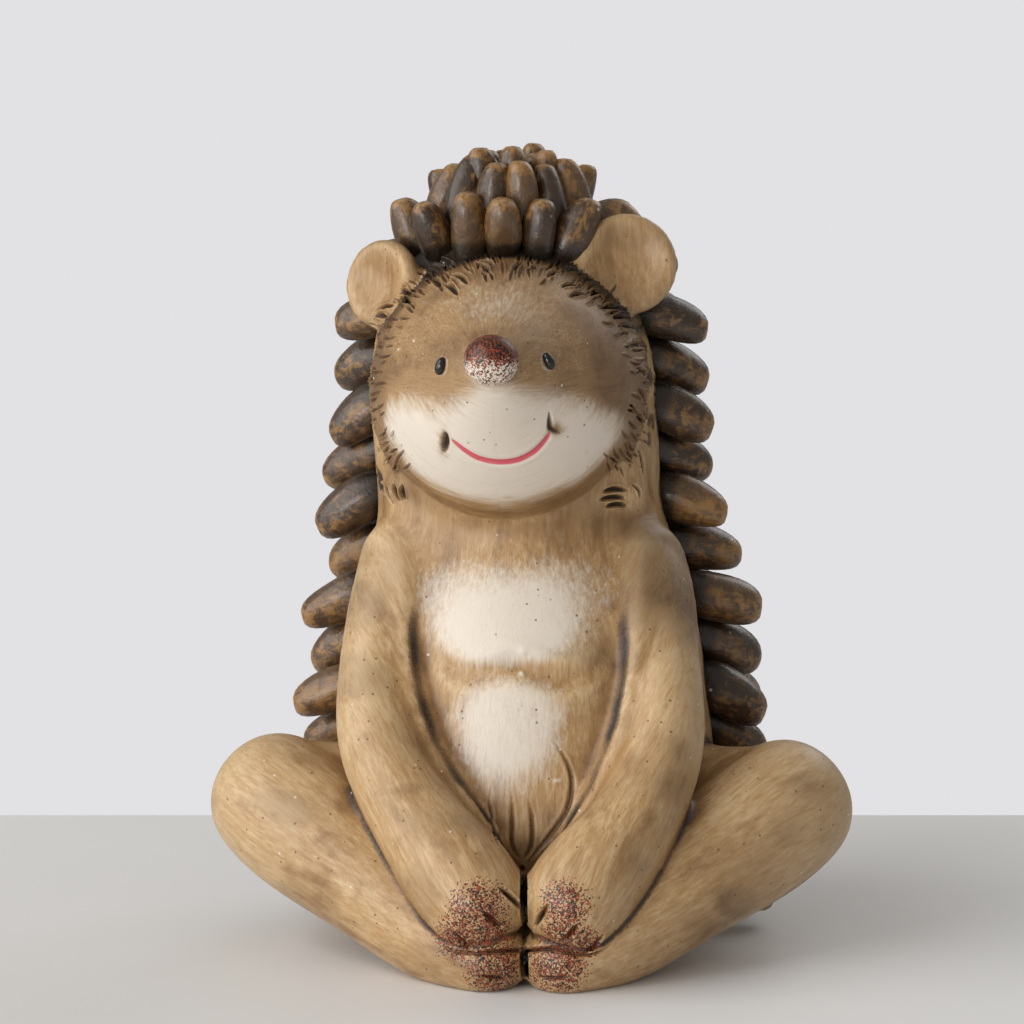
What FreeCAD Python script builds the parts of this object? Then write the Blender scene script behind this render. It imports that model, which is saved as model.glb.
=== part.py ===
import FreeCAD, Part
import math
import os

from FreeCAD import Vector

# Seated hedgehog ornament of fired clay. It sits with its soles together and its hands resting on them.
# The front faces -Y, +X is to the right of someone who looks at the face, and it stands on z = 0.
# All lengths are in millimetres, all angles in degrees.

# Body: a hollow pot, oval in plan, open at the neck and with a vent in its base
neck_height = 78.0
torso_width = 69.0
torso_depth = 67.0
torso_setback = 5.0
body_lean = 6.1
wall = 5.0
vent_diameter = 13.0
vent_setback = 15.0

# Head: a hollow bowl turned over on the neck
head_width = 54.6
head_depth = 50.0
head_height = 60.0
head_setback = 8.0
head_roll = 3.0

# Face: a turned cone that ends in the muzzle, pressed on the front of the head
face_diameter = 47.5
face_reach = 40.0
muzzle_tilt = 13.0
nose_diameter = 9.6
eye_diameter = 3.2
eye_spacing = 19.0
eye_rise = 1.1

# Fringe of carved fur round the face
fringe_thickness = 2.4
fringe_width = 9.0
fringe_opening = 116.0

# Ears: dished discs
left_ear_diameter = 17.0
right_ear_diameter = 19.4
ear_thickness = 4.6
ear_dish = 2.4
ear_rim = 1.8
ear_spacing = 46.0
left_ear_rise = 21.5
right_ear_rise = 23.0
ear_reach = 5.0
left_ear_turn = 34.0
right_ear_turn = 12.0
ear_seam_turn = 180.0

# Arms
arm_diameter = 15.0
hand_diameter = 19.4
shoulder_drop = 7.0
shoulder_spacing = 45.0
elbow_spacing = 52.0
clasp_height = 16.0
clasp_reach = 44.0
clasp_offset = 1.2

# Legs
knee_diameter = 26.0
knee_spacing = 95.0
knee_height = 26.8
knee_reach = 12.0
hip_diameter = 29.0
hip_spacing = 38.0
foot_diameter = 15.5
foot_height = 5.0
foot_reach = 44.0

# Spines: fat pellets in staggered rows
spine_diameter = 8.6
spine_length = 13.0
spine_pitch = 8.7
spine_droop = 20.0
spine_start = 94.0
lowest_row_height = 12.0
head_row_rise = 5.2
crown_spine_diameter = 7.0
seat_gap = 0.05
guard_gap = 0.1
spine_gap = 0.25

# One overrun serves all cuts
overrun = 20.0

# Shares of the torso: height of the neck, width, depth, setback, lean
torso_section_shares = (
    (0.0, 0.81, 0.776, 1.2, 0.0),
    (0.0625, 0.93, 0.896, 1.1, 0.0),
    (0.225, 1.0, 1.0, 0.8, 0.0),
    (0.45, 0.995, 0.994, 0.8, 0.05),
    (0.65, 0.957, 0.94, 1.0, 0.13),
    (0.825, 0.9, 0.85, 1.3, 0.26),
    (0.95, 0.826, 0.761, 1.6, 0.41),
)
# Shares of the head: height above the neck, width, depth, setback, lean
head_section_shares = (
    (0.07, 1.0, 0.98, 1.06, 0.54),
    (0.305, 1.0, 1.0, 1.0, 0.69),
    (0.54, 0.97, 0.96, 1.06, 0.79),
    (0.745, 0.84, 0.76, 1.25, 0.88),
    (0.88, 0.64, 0.58, 1.38, 0.95),
    (0.966, 0.366, 0.34, 1.38, 0.98),
    (1.0, 0.128, 0.13, 1.38, 1.0),
)
# Share of the head's height at which the middle of the face lies
face_height_share = 0.42
# Shares of the face: reach along the muzzle's axis, share of the face's radius
face_profile_shares = (
    (0.0, 1.0), (0.33, 1.0), (0.475, 0.925), (0.625, 0.75), (0.75, 0.56), (0.875, 0.385), (1.0, 0.19),
)
# Shares of the crown's tiers: height on the head, length of a spine, turn of the tier by a spine
crown_tier_shares = ((0.878, 0.82, 0.0), (0.938, 1.02, 0.5), (0.982, 1.0, 0.2), (0.999, 0.86, 0.0))
# How much the crown's spines stand up, and how much more those in front
crown_lift_shares = (0.4, 0.75)
# Shares of the head's height where the rows round its back end, and where the crown closes behind the brow
head_rows_share = 0.83
brow_tier_share = 0.9
# Share of a spine's length by which its row bulges, for the number of spines that fit side by side
row_bulge_share = 0.25
# How uneven the hand-set spines are: share of the length, and degrees of their direction
length_unevenness_share = 0.07
turn_unevenness = 4.0
# Steps, as shares of a radian, that keep one spine's unevenness unlike the next one's
swing_step_share, nod_step_share, length_step_share = 2.4, 3.7, 1.9
# Share of a spine that has to stay when its neighbours are cut from it
least_spine_share = 0.5
# Shares of a spine: length, radius
spine_profile_shares = ((0.58, 1.0), (0.86, 0.84), (1.0, 0.45))
spine_sides = 7
# Shares of the nose's diameter by which it stands forward and up from the end of the muzzle
nose_forward_share, nose_up_share = 0.125, 0.083
# Share of an ear's thickness that rounds its rim
ear_round_share = 0.45
# Shares that place the hip: of its diameter to the front, of the knee's diameter below the knee
hip_forward_share, hip_drop_share = 0.125, 0.167
# Shares of the way from hip to knee and of the knee's diameter, where the thigh ends
thigh_end_share, thigh_radius_share = 0.93, 0.46
# Shares of the lower leg: way from knee to foot, forward and down by the foot's diameter
calf_shares = (0.5, 0.125, 0.083)
ankle_shares = (0.8, 0.1, 0.1)
# Shares of the knee's and the foot's diameter that are the radius of calf and ankle
calf_radius_share, ankle_radius_share = 0.41, 0.58
# Share of its diameter that a hand or a foot lies out from the plane where they meet
pair_share = 0.47
# Shares of the arm, from shoulder to forearm: reach to the hand, lean of the body, height from shoulder to
# hand, radius of the arm
shoulder_shares = (0.1, 0.35, 0.0, 1.06)
upper_arm_shares = (0.33, 0.3, 0.275, 1.0)
elbow_shares = (0.56, 0.15, 0.55, 1.04)
forearm_shares = (0.8, 0.0, 0.775, 1.12)
# Shares of the arm's diameter by which the forearm bows out and sags
bow_share, sag_share = 0.1, 0.05
# Steps of a rounded end, in degrees from its rim
dome_steps = (72.0, 48.0, 24.0)


def oval(half_width, half_depth, centre):
    """A level oval round a centre."""
    ring = Part.Wire(Part.Circle(Vector(0, 0, 0), Vector(0, 0, 1), 1.0).toShape())
    matrix = FreeCAD.Matrix(
        half_width, 0, 0, centre.x, 0, half_depth, 0, centre.y, 0, 0, 1, centre.z, 0, 0, 0, 1
    )
    return ring.transformGeometry(matrix)


def core_sections():
    """Height, half width, half depth and centre of each section, from the base to the top of the skull."""
    sections = []
    for height, width, depth, setback, lean in torso_section_shares:
        centre = Vector(-lean * body_lean, setback * torso_setback, height * neck_height)
        sections.append((width * torso_width / 2, depth * torso_depth / 2, centre))
    for height, width, depth, setback, lean in head_section_shares:
        centre = Vector(-lean * body_lean, setback * head_setback, neck_height + height * head_height)
        sections.append((width * head_width / 2, depth * head_depth / 2, centre))
    return sections


def make_core():
    """The solid that the torso and the head are cut from."""
    return Part.makeLoft([oval(a, b, centre) for a, b, centre in core_sections()], True, False)


def make_cavity():
    """The hollow of torso and head together, one wall inside the core."""
    wires = []
    top = neck_height + head_height - wall
    for a, b, centre in core_sections():
        if wall < centre.z < top and min(a, b) > 2 * wall:
            wires.append(oval(a - wall, b - wall, centre))
    first = core_sections()[0]
    floor_centre = Vector(first[2].x, first[2].y, wall)
    wires[0:0] = [oval(first[0] - wall, first[1] - wall, floor_centre)]
    return Part.makeLoft(wires, True, False)


def centre_at(height):
    """The point of the core's centre line at a height."""
    sections = core_sections()
    for lower, upper in zip(sections, sections[1:]):
        if height <= upper[2].z:
            share = (height - lower[2].z) / (upper[2].z - lower[2].z)
            return lower[2] + (upper[2] - lower[2]) * share
    return sections[-1][2]


def slab(low, high):
    """A level slab, wider than the object, between two heights."""
    side = torso_width + torso_depth + knee_spacing + overrun
    return Part.makeBox(side, side, high - low, Vector(-side / 2, -side / 2, low))


def half_space(side):
    """The space to one side of the plane where the hands and the soles meet; side is 1 or -1."""
    size = torso_width + torso_depth + knee_spacing + overrun
    start = clasp_offset if side > 0 else clasp_offset - size
    return Part.makeBox(size, size, size, Vector(start, -size / 2, -overrun))


def largest(shape):
    """The largest solid of a shape, so that no sliver stays from a cut."""
    return max(shape.Solids, key=lambda solid: solid.Volume)


def level_face(solid, height):
    """The flat face of a solid that lies at a height."""
    flat = [face for face in solid.Faces if face.Surface.TypeId == "Part::GeomPlane"]
    return min(flat, key=lambda face: abs(face.CenterOfMass.z - height))


def round_faces(solid):
    """The faces of a solid that are not flat."""
    return [face for face in solid.Faces if face.Surface.TypeId != "Part::GeomPlane"]


def closed(faces):
    """The solid that a closed set of faces bounds."""
    shell = Part.makeShell(faces)
    shell.sewShape()
    solid = Part.makeSolid(Part.makeShell(shell.Faces))
    return solid if solid.Volume > 0 else solid.reversed()


def make_torso(torso_solid, torso_hollow):
    """The pot of the body: wall, base with its vent, and the rim that carries the head."""
    vent = Part.makeCylinder(vent_diameter / 2, wall, Vector(0, vent_setback, 0))
    base = level_face(torso_solid, 0).cut(level_face(vent, 0))
    floor = level_face(torso_hollow, wall).cut(level_face(vent, wall))
    rim = level_face(torso_solid, neck_height).cut(level_face(torso_hollow, neck_height))
    sides = round_faces(torso_solid) + round_faces(torso_hollow) + round_faces(vent)
    return closed(sides + base.Faces + floor.Faces + rim.Faces)


def make_head(head_solid, head_hollow):
    """The bowl of the head, with its rim on the rim of the body."""
    top = neck_height + head_height
    rim = level_face(head_solid, neck_height).cut(level_face(head_hollow, neck_height))
    caps = [level_face(head_solid, top), level_face(head_hollow, top - wall)]
    return closed(round_faces(head_solid) + round_faces(head_hollow) + caps + rim.Faces)


def head_place(shape):
    """Moves a piece made round the middle of the face, with its muzzle along -Y, to its place on the head."""
    level = neck_height + head_height * face_height_share
    middle = centre_at(level)
    tilt = FreeCAD.Rotation(Vector(1, 0, 0), -muzzle_tilt)
    roll = FreeCAD.Rotation(Vector(0, 1, 0), -head_roll)
    placed = shape.copy()
    seat = FreeCAD.Placement(Vector(middle.x, 0, level), roll.multiply(tilt))
    placed.Placement = seat.multiply(shape.Placement)
    return placed


def face_points():
    """Places along and away from the muzzle's axis on the outline of the face."""
    return [(along * face_reach, away * face_diameter / 2) for along, away in face_profile_shares]


def make_face_solid():
    """The face as one turned solid, from the middle of the head to the end of the muzzle."""
    points = [Vector(0, -along, away) for along, away in face_points()]
    curve = Part.BSplineCurve()
    curve.interpolate(Points=points[1:], InitialTangent=Vector(0, -1, 0), FinalTangent=Vector(0, -1, -1))
    back = Vector(0, points[0].y, 0)
    tip = Vector(0, points[-1].y, 0)
    lines = Part.makePolygon([points[-1], tip, back, points[0], points[1]])
    outline = Part.Wire([curve.toShape()] + lines.Edges)
    return head_place(Part.Face(outline).revolve(Vector(0, 0, 0), Vector(0, 1, 0), 360))


def make_fringe():
    """A band round the face, open under the chin, that follows the straight part of the face's outline."""
    inner = face_diameter / 2
    front = face_points()[1][0]
    back = front - fringe_width
    crest = (front + 2 * back) / 3
    outer = inner + fringe_thickness
    places = [(front, inner), (crest, outer), (back, outer), (back, inner)]
    band = Part.Face(Part.makePolygon([Vector(0, -along, away) for along, away in places + places[:1]]))
    band.rotate(Vector(0, 0, 0), Vector(0, 1, 0), 180 + fringe_opening / 2)
    return head_place(band.revolve(Vector(0, 0, 0), Vector(0, 1, 0), 360 - fringe_opening))


def make_guard():
    """The room that the ears and the spines leave free for the face and its fringe."""
    radius = face_diameter / 2 + fringe_thickness + guard_gap
    front = face_points()[1][0] + overrun
    return head_place(Part.makeCylinder(radius, front, Vector(0, 0, 0), Vector(0, -1, 0)))


def make_nose(face):
    centre = Vector(0, -face_reach - nose_diameter * nose_forward_share, nose_diameter * nose_up_share)
    ball = Part.makeSphere(nose_diameter / 2, centre)
    return largest(head_place(ball).cut(face))


def make_eye(side, face):
    """A bead set in the face, where a line along the muzzle's axis meets it."""
    place = Vector(side * eye_spacing / 2, 0, eye_rise)
    probe = head_place(Part.makeLine(place, place - Vector(0, face_reach + nose_diameter, 0)))
    inside = probe.common(face)
    front = min((vertex.Point for vertex in inside.Vertexes), key=lambda point: point.y)
    return largest(Part.makeSphere(eye_diameter / 2, front).cut(face))


def make_ear(side, diameter, turn, rise, obstacles):
    """A dished disc with a rounded rim, turned outwards, with its lower edge in the fringe."""
    radius = diameter / 2
    disc = Part.makeCylinder(radius, ear_thickness, Vector(0, 0, -ear_thickness / 2))
    rims = [edge for edge in disc.Edges if edge.Curve.TypeId == "Part::GeomCircle"]
    disc = disc.makeFillet(ear_thickness * ear_round_share, rims)
    disc.rotate(Vector(0, 0, 0), Vector(0, 0, 1), ear_seam_turn)
    hollow_radius = ((radius - ear_rim) ** 2 + ear_dish ** 2) / (2 * ear_dish)
    hollow = Part.makeSphere(hollow_radius, Vector(0, 0, ear_thickness / 2 - ear_dish + hollow_radius))
    ear = disc.cut(hollow)
    ear.rotate(Vector(0, 0, 0), Vector(1, 0, 0), 90)
    ear.rotate(Vector(0, 0, 0), Vector(0, 0, 1), side * turn)
    ear.translate(Vector(side * ear_spacing / 2, -ear_reach, rise))
    ear = head_place(largest(ear))
    for obstacle in obstacles:
        ear = ear.cut(obstacle)
    return largest(ear)


def ring_at(point, along, reference, radius):
    """A round section of a limb, square to its path."""
    side = along.cross(reference).normalize()
    ring = Part.Wire(Part.Circle(Vector(0, 0, 0), Vector(0, 0, 1), radius).toShape())
    turn = FreeCAD.Rotation(side, along.cross(side), along, "ZXY")
    ring.Placement = FreeCAD.Placement(point, turn)
    return ring


def limb(points, radii, reference):
    """A tapered roll of clay through points, with a rounded end at each end."""
    wires = []
    last = len(points) - 1
    first_way = (points[1] - points[0]).normalize()
    last_way = (points[last] - points[last - 1]).normalize()
    for step in dome_steps:
        a = math.radians(step)
        centre = points[0] - first_way * (radii[0] * math.sin(a))
        wires.append(ring_at(centre, first_way, reference, radii[0] * math.cos(a)))
    for i, (point, radius) in enumerate(zip(points, radii)):
        way = (points[min(i + 1, last)] - points[max(i - 1, 0)]).normalize()
        wires.append(ring_at(point, way, reference, radius))
    for step in reversed(dome_steps):
        a = math.radians(step)
        centre = points[last] + last_way * (radii[last] * math.sin(a))
        wires.append(ring_at(centre, last_way, reference, radii[last] * math.cos(a)))
    return Part.makeLoft(wires, True, False)


def between(start, end, share):
    return start + (end - start) * share


def make_leg(side, core):
    """Thigh and lower leg of one folded leg, with the foot as its rounded end."""
    hip_height = knee_height - knee_diameter * hip_drop_share
    hip = Vector(side * hip_spacing / 2, -hip_diameter * hip_forward_share, hip_height)
    knee = Vector(side * knee_spacing / 2, -knee_reach, knee_height)
    foot = Vector(clasp_offset + side * foot_diameter * pair_share, -foot_reach, foot_height)
    upward = Vector(0, 0, 1)
    thigh_end = between(hip, knee, thigh_end_share)
    thigh_radii = [hip_diameter / 2, (hip_diameter + knee_diameter) / 4, knee_diameter * thigh_radius_share]
    thigh = limb([hip, (hip + thigh_end) / 2, thigh_end], thigh_radii, upward)
    calf, ankle = [
        between(knee, foot, way) - Vector(0, foot_diameter * forward, foot_diameter * down)
        for way, forward, down in (calf_shares, ankle_shares)
    ]
    shin = limb([knee, calf, ankle, foot],
                [knee_diameter / 2, knee_diameter * calf_radius_share, foot_diameter * ankle_radius_share,
                 foot_diameter / 2], upward)
    leg = thigh.fuse(shin).cut(core)
    leg = leg.common(half_space(side))
    return largest(leg.cut(slab(-overrun, 0)))


def make_arm(side, core, obstacles):
    """Arm from the shoulder to the hand, which rests on the soles."""
    hand = Vector(clasp_offset + side * hand_diameter * pair_share, -clasp_reach, clasp_height)
    shoulder_height = neck_height - shoulder_drop
    points, radii = [], []
    for spacing, shares in ((shoulder_spacing, shoulder_shares), (elbow_spacing, upper_arm_shares),
                            (elbow_spacing, elbow_shares), (elbow_spacing, forearm_shares)):
        reach, lean, drop, radius = shares
        height = shoulder_height + (clasp_height - shoulder_height) * drop
        points.append(Vector(side * spacing / 2 - body_lean * lean, -clasp_reach * reach, height))
        radii.append(arm_diameter / 2 * radius)
    bow = Vector((hand.x - points[-1].x) / 2 + side * arm_diameter * bow_share, 0, -arm_diameter * sag_share)
    points[-1] = points[-1] + bow
    arm = limb(points + [hand], radii + [hand_diameter / 2], Vector(1, 0, 0))
    arm = arm.cut(core).common(half_space(side))
    for obstacle in obstacles:
        arm = arm.cut(obstacle)
    return largest(arm)


def pellet(seat, normal, way, radius, length):
    """A faceted spine whose root is cut flat along the surface that carries it."""
    side = way.cross(Vector(0, 0, 1))
    side = side.normalize() if side.Length > 0.05 else Vector(1, 0, 0)
    rise = side.cross(way).normalize()
    spokes = []
    for k in range(spine_sides):
        a = 2 * math.pi * k / spine_sides
        spokes.append((side * math.sin(a) + rise * math.cos(a)) * radius)
    root = seat + normal * seat_gap
    rings = [[root + s - way * (s.dot(normal) / way.dot(normal)) for s in spokes]]
    for along, girth in spine_profile_shares:
        rings.append([root + way * (along * length) + s * girth for s in spokes])
    faces = [Part.Face(Part.makePolygon(ring + [ring[0]])) for ring in (rings[0], rings[-1])]
    for lower, upper in zip(rings, rings[1:]):
        for k in range(spine_sides):
            n = (k + 1) % spine_sides
            faces.append(Part.Face(Part.makePolygon([lower[k], lower[n], upper[n], upper[k], lower[k]])))
    solid = Part.makeSolid(Part.makeShell(faces))
    return solid if solid.Volume > 0 else solid.reversed()


def seat_on(surface, origin, direction):
    """Where a ray from inside leaves the core, and the outward normal there."""
    hits = Part.Line(origin, origin + direction).intersect(surface)[0]
    places = [Vector(hit.X, hit.Y, hit.Z) for hit in hits]
    place = max(places, key=lambda p: (p - origin).dot(direction))
    u, v = surface.parameter(place)
    normal = surface.normal(u, v)
    return place, normal if normal.dot(direction) > 0 else normal * -1


def uneven(way, number):
    """Turns a spine's direction a little, in a steady but irregular way."""
    swing = turn_unevenness * math.sin(number * swing_step_share)
    nod = turn_unevenness * math.cos(number * nod_step_share)
    turned = FreeCAD.Rotation(Vector(0, 0, 1), swing).multVec(way)
    return FreeCAD.Rotation(turned.cross(Vector(0, 0, 1)), nod).multVec(turned)


def level_row(surface, height, stagger):
    """One level row round the sides and the back: seats, normals and directions."""
    origin = centre_at(height)
    reach = (seat_on(surface, origin, Vector(0, 1, 0))[0] - origin).Length
    span = 360 - 2 * spine_start
    count = int(math.radians(span) * (reach + spine_length * row_bulge_share) / (spine_diameter + spine_gap))
    step = span / count
    shift = 0.5 if stagger else 0.0
    spines = []
    for k in range(count if stagger else count + 1):
        azimuth = math.radians(spine_start + (k + shift) * step)
        seat, normal = seat_on(surface, origin, Vector(math.sin(azimuth), -math.cos(azimuth), 0))
        way = (normal - Vector(0, 0, math.tan(math.radians(spine_droop)))).normalize()
        spines.append((seat, normal, uneven(way, k + height)))
    return spines


def crown_tier(surface, share, turn):
    """One ring of spines on the skull, upright in front and fanning out to the sides and the back."""
    level = neck_height + share * head_height
    axis = centre_at(level)
    origin = Vector(axis.x, axis.y, level)
    reach = (seat_on(surface, origin, Vector(0, 1, 0))[0] - origin).Length
    around = 2 * math.pi * (reach + crown_spine_diameter * row_bulge_share)
    count = max(1, int(around / (crown_spine_diameter + spine_gap)))
    spines = []
    for k in range(count):
        azimuth = 2 * math.pi * (k + turn) / count
        if share < brow_tier_share and math.cos(azimuth) < math.cos(math.radians(spine_start)):
            continue
        seat, normal = seat_on(surface, origin, Vector(math.sin(azimuth), -math.cos(azimuth), 0))
        lift = crown_lift_shares[0] + crown_lift_shares[1] * math.cos(azimuth)
        way = (normal + Vector(0, 0, lift)).normalize()
        spines.append((seat, normal, uneven(way, k + share)))
    return spines


def clear_of(solid, axis, others):
    """The solid without what it shares with its neighbours, or None where too little room is left."""
    whole = solid.Volume
    for other, box, other_axis in others:
        if not solid.BoundBox.intersect(box):
            continue
        if other_axis and axis.distToShape(other_axis)[0] > spine_diameter:
            continue
        rest = solid.cut(other)
        if not rest.Solids:
            return None
        if rest.Volume < solid.Volume:
            solid = largest(rest)
    return solid if solid.Volume > whole * least_spine_share else None


def with_box(shape):
    """A shape that is no spine, and so has no axis, with the tight box round it that tells what lies near."""
    return shape, shape.optimalBoundingBox(True, False), None


def make_row(spines, diameter, length, obstacles):
    """The solids of one row, each cut clear of the limbs and of the spines made before it."""
    solids = []
    for number, (seat, normal, way) in enumerate(spines):
        wave = math.sin(number * length_step_share + seat.z / spine_pitch)
        uneven_length = length * (1 + length_unevenness_share * wave)
        axis = Part.makeLine(seat, seat + way * uneven_length)
        solid = pellet(seat, normal, way, diameter / 2, uneven_length)
        solid = clear_of(solid, axis, obstacles + solids)
        if solid:
            solids.append((solid, solid.BoundBox, axis))
    return solids


def make_spines(surface, limbs):
    """All rows and tiers of spines, from the lowest row to the top of the crown."""
    nodes = {}
    earlier = []
    starts = (("back", lowest_row_height, neck_height - spine_pitch / 2),
              ("head", neck_height + head_row_rise, neck_height + head_height * head_rows_share))
    for place, height, top in starts:
        row = 0
        while height < top:
            row += 1
            spines = level_row(surface, height, row % 2 == 0)
            solids = make_row(spines, spine_diameter, spine_length, limbs + earlier)
            nodes["%s_spines_%d" % (place, row)] = Part.makeCompound([spine[0] for spine in solids])
            earlier = solids
            height += spine_pitch
    for tier, (share, length_share, turn) in enumerate(crown_tier_shares):
        spines = crown_tier(surface, share, turn)
        solids = make_row(spines, crown_spine_diameter, spine_length * length_share, limbs + earlier)
        nodes["crown_spines_%d" % (tier + 1)] = Part.makeCompound([spine[0] for spine in solids])
        earlier = earlier + solids
    return nodes


def make_all():
    """Every node's shape by its name."""
    core = make_core()
    cavity = make_cavity()
    surface = max(core.Faces, key=lambda face: face.Area).Surface
    below = slab(-overrun, neck_height)
    above = slab(neck_height, neck_height + head_height + overrun)
    nodes = {"torso_shell": make_torso(core.common(below), cavity.common(below)),
             "head_shell": make_head(core.common(above), cavity.common(above))}
    face_solid = make_face_solid()
    nodes["face"] = largest(face_solid.cut(core))
    nodes["face_fringe"] = largest(make_fringe().cut(core))
    nodes["nose"] = make_nose(face_solid)
    guard = make_guard()
    ears = ((-1, "left", left_ear_diameter, left_ear_turn, left_ear_rise),
            (1, "right", right_ear_diameter, right_ear_turn, right_ear_rise))
    for side, name, diameter, turn, rise in ears:
        nodes[name + "_eye"] = make_eye(side, face_solid)
        nodes[name + "_ear"] = make_ear(side, diameter, turn, rise, (guard, core))
        nodes[name + "_leg"] = make_leg(side, core)
        nodes[name + "_arm"] = make_arm(side, core, (nodes[name + "_leg"], face_solid, nodes["face_fringe"]))
    limbs = [with_box(nodes[name]) for name in nodes if name.endswith(("_arm", "_leg", "_ear"))]
    nodes.update(make_spines(surface, limbs + [with_box(guard)]))
    return nodes


def main():
    nodes = make_all()
    box = Part.makeCompound(list(nodes.values())).optimalBoundingBox(True, False)
    os.makedirs("parts", exist_ok=True)
    for name, shape in nodes.items():
        placed = shape.copy()
        placed.translate(Vector(-box.Center.x, -box.Center.y, 0))
        placed.exportStep("parts/%s.step" % name)
    print("size", round(box.XLength, 1), round(box.YLength, 1), round(box.ZLength, 1))
    print("moved by", round(-box.Center.x, 2), round(-box.Center.y, 2))


main()
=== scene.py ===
import math

import bmesh
import bpy
import numpy as np
from mathutils import Matrix, Vector
from mathutils.bvhtree import BVHTree
from mathutils.kdtree import KDTree


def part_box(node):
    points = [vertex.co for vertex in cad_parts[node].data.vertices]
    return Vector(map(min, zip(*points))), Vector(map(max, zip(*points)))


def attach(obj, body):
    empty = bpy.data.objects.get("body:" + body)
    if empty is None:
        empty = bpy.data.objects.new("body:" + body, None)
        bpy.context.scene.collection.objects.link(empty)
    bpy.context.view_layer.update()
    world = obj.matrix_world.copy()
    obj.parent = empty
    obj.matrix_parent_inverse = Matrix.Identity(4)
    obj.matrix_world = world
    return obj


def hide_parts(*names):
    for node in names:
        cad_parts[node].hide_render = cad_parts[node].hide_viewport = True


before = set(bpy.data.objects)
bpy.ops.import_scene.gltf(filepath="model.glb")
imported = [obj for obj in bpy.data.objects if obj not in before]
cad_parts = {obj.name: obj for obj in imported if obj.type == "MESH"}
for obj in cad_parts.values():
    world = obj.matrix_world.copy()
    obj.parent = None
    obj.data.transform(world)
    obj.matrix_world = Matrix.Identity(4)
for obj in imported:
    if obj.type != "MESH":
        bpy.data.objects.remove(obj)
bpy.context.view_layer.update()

MM = 0.001

# Camera of the photograph, in millimetres, degrees and pixels of the square picture
PICTURE = 1024
CAMERA_AZIMUTH = 4.0
CAMERA_ELEVATION = 8.0
CAMERA_DISTANCE = 750.0
CAMERA_TARGET = (-1.8, 1.24, 70.0)
CAMERA_LENS = 138.9
CAMERA_SENSOR = 36.0
CAMERA_CENTRE = (525.2, 569.2)
FOCAL = CAMERA_LENS * PICTURE / CAMERA_SENSOR

# Table, in millimetres
TABLE_EDGE = 113.0
TABLE_HALF_WIDTH = 900.0
TABLE_FRONT = 1100.0
TABLE_THICKNESS = 30.0
TABLE_BEVEL = 2.0

# Colours, as a screen shows them
OCHRE = (168, 130, 82)
PALE_CLAY = (202, 174, 134)
STAIN = (124, 88, 48)
# The next two browns serve for stain, and also for painted shade in the cuts, creases and hollows and at the
# spines
DEEP_STAIN_AND_SHADE = (82, 56, 30)
CREVICE = (30, 22, 15)
WHITE_SLIP = (221, 211, 198)
PINK = (205, 84, 98)
RUST = (166, 62, 32)
NOSE_RED = (100, 40, 26)
SPECK_BLACK = (26, 18, 16)
SPINE_DARK = (58, 43, 31)
SPINE_BROWN = (98, 73, 48)
SPINE_AMBER = (150, 111, 62)
SPINE_RIM = (186, 156, 116)
EYE_BLACK, EYE_DUST = (14, 13, 13), (52, 46, 40)
TABLE_SHADES = (234, 235, 237), (238, 239, 241)
WALL = (226, 225, 228)

# Lamps: place and aim in metres, side in metres, power in watts, colour
LAMPS = {
    "key": ((-2.0, -1.0, 1.1), (0, 0, 0.06), 2.8, 58.0, (1.0, 0.985, 0.96)),
    "fill": ((-0.45, -1.0, 0.1), (0, 0, 0.08), 0.4, 4.2, (1, 1, 1)),
    "rim": ((0.45, 0.6, 0.6), (0, 0, 0.08), 0.5, 1.4, (1, 1, 1)),
}
ROOM_LIGHT, ROOM_STRENGTH = (1.0, 0.95, 0.88, 1), 0.36

# Clay skin, in mm: size of a voxel, and where the mesh is made finer for the carving
VOXEL = 0.75
CUT_REACHES = (1.5, 1.0)
FACE_LOW, FACE_BACK = 82.0, -4.0
HAND_HIGH, HAND_BACK = 45.0, -30.0
CUTS_LOW, CUTS_BACK = 10.0, 0.0
# Slip in the armpits, in mm: widest gap that it fills, spacing and least radius of its balls,
# and where on a triangle they sit
SLIP_GAP = 4.0
SLIP_STEP = 0.7
SLIP_RADIUS = 0.9
SPOT_SHARES = (
    (1 / 3, 1 / 3, 1 / 3), (2 / 3, 1 / 6, 1 / 6), (1 / 6, 2 / 3, 1 / 6), (1 / 6, 1 / 6, 2 / 3),
    (0.5, 0.5, 0), (0.5, 0, 0.5), (0, 0.5, 0.5),
)
CLAY_NODES = (
    "torso_shell", "head_shell", "face", "face_fringe", "left_ear", "right_ear",
    "left_arm", "right_arm", "left_leg", "right_leg",
)

# Joints of the clay: smeared over, or left as creases, with heights and depths in mm
ARMS, EARS, LEGS = [tuple(side + part for side in ("left", "right")) for part in ("_arm", "_ear", "_leg")]
HEAD_NODES = "head_shell", "face_fringe", "face"
SHOULDER_PAIRS = [(arm, other) for arm in ARMS for other in ("torso_shell", *HEAD_NODES)]
FACE_PAIRS = [("face", "face_fringe"), ("face_fringe", "head_shell"), ("face", "head_shell")]
EAR_PAIRS = [(ear, other) for ear in EARS for other in HEAD_NODES]
LEG_PAIRS = [(leg, "torso_shell") for leg in LEGS]
CREASE_PAIRS = [(arm, "torso_shell") for arm in ARMS] + [(arm, leg) for arm in ARMS for leg in LEGS]
CREASE_PAIRS += [ARMS, LEGS, *LEG_PAIRS]
CREASE_TOP = 68.0
CREASE_FADE = 7.0
CREASE_DEPTH = 0.3
SEAM_GAIN = 2.5
FILL_ROUNDS = 6
SHOULDER_LOW, SHOULDER_HIGH = 56.0, 66.0

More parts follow.
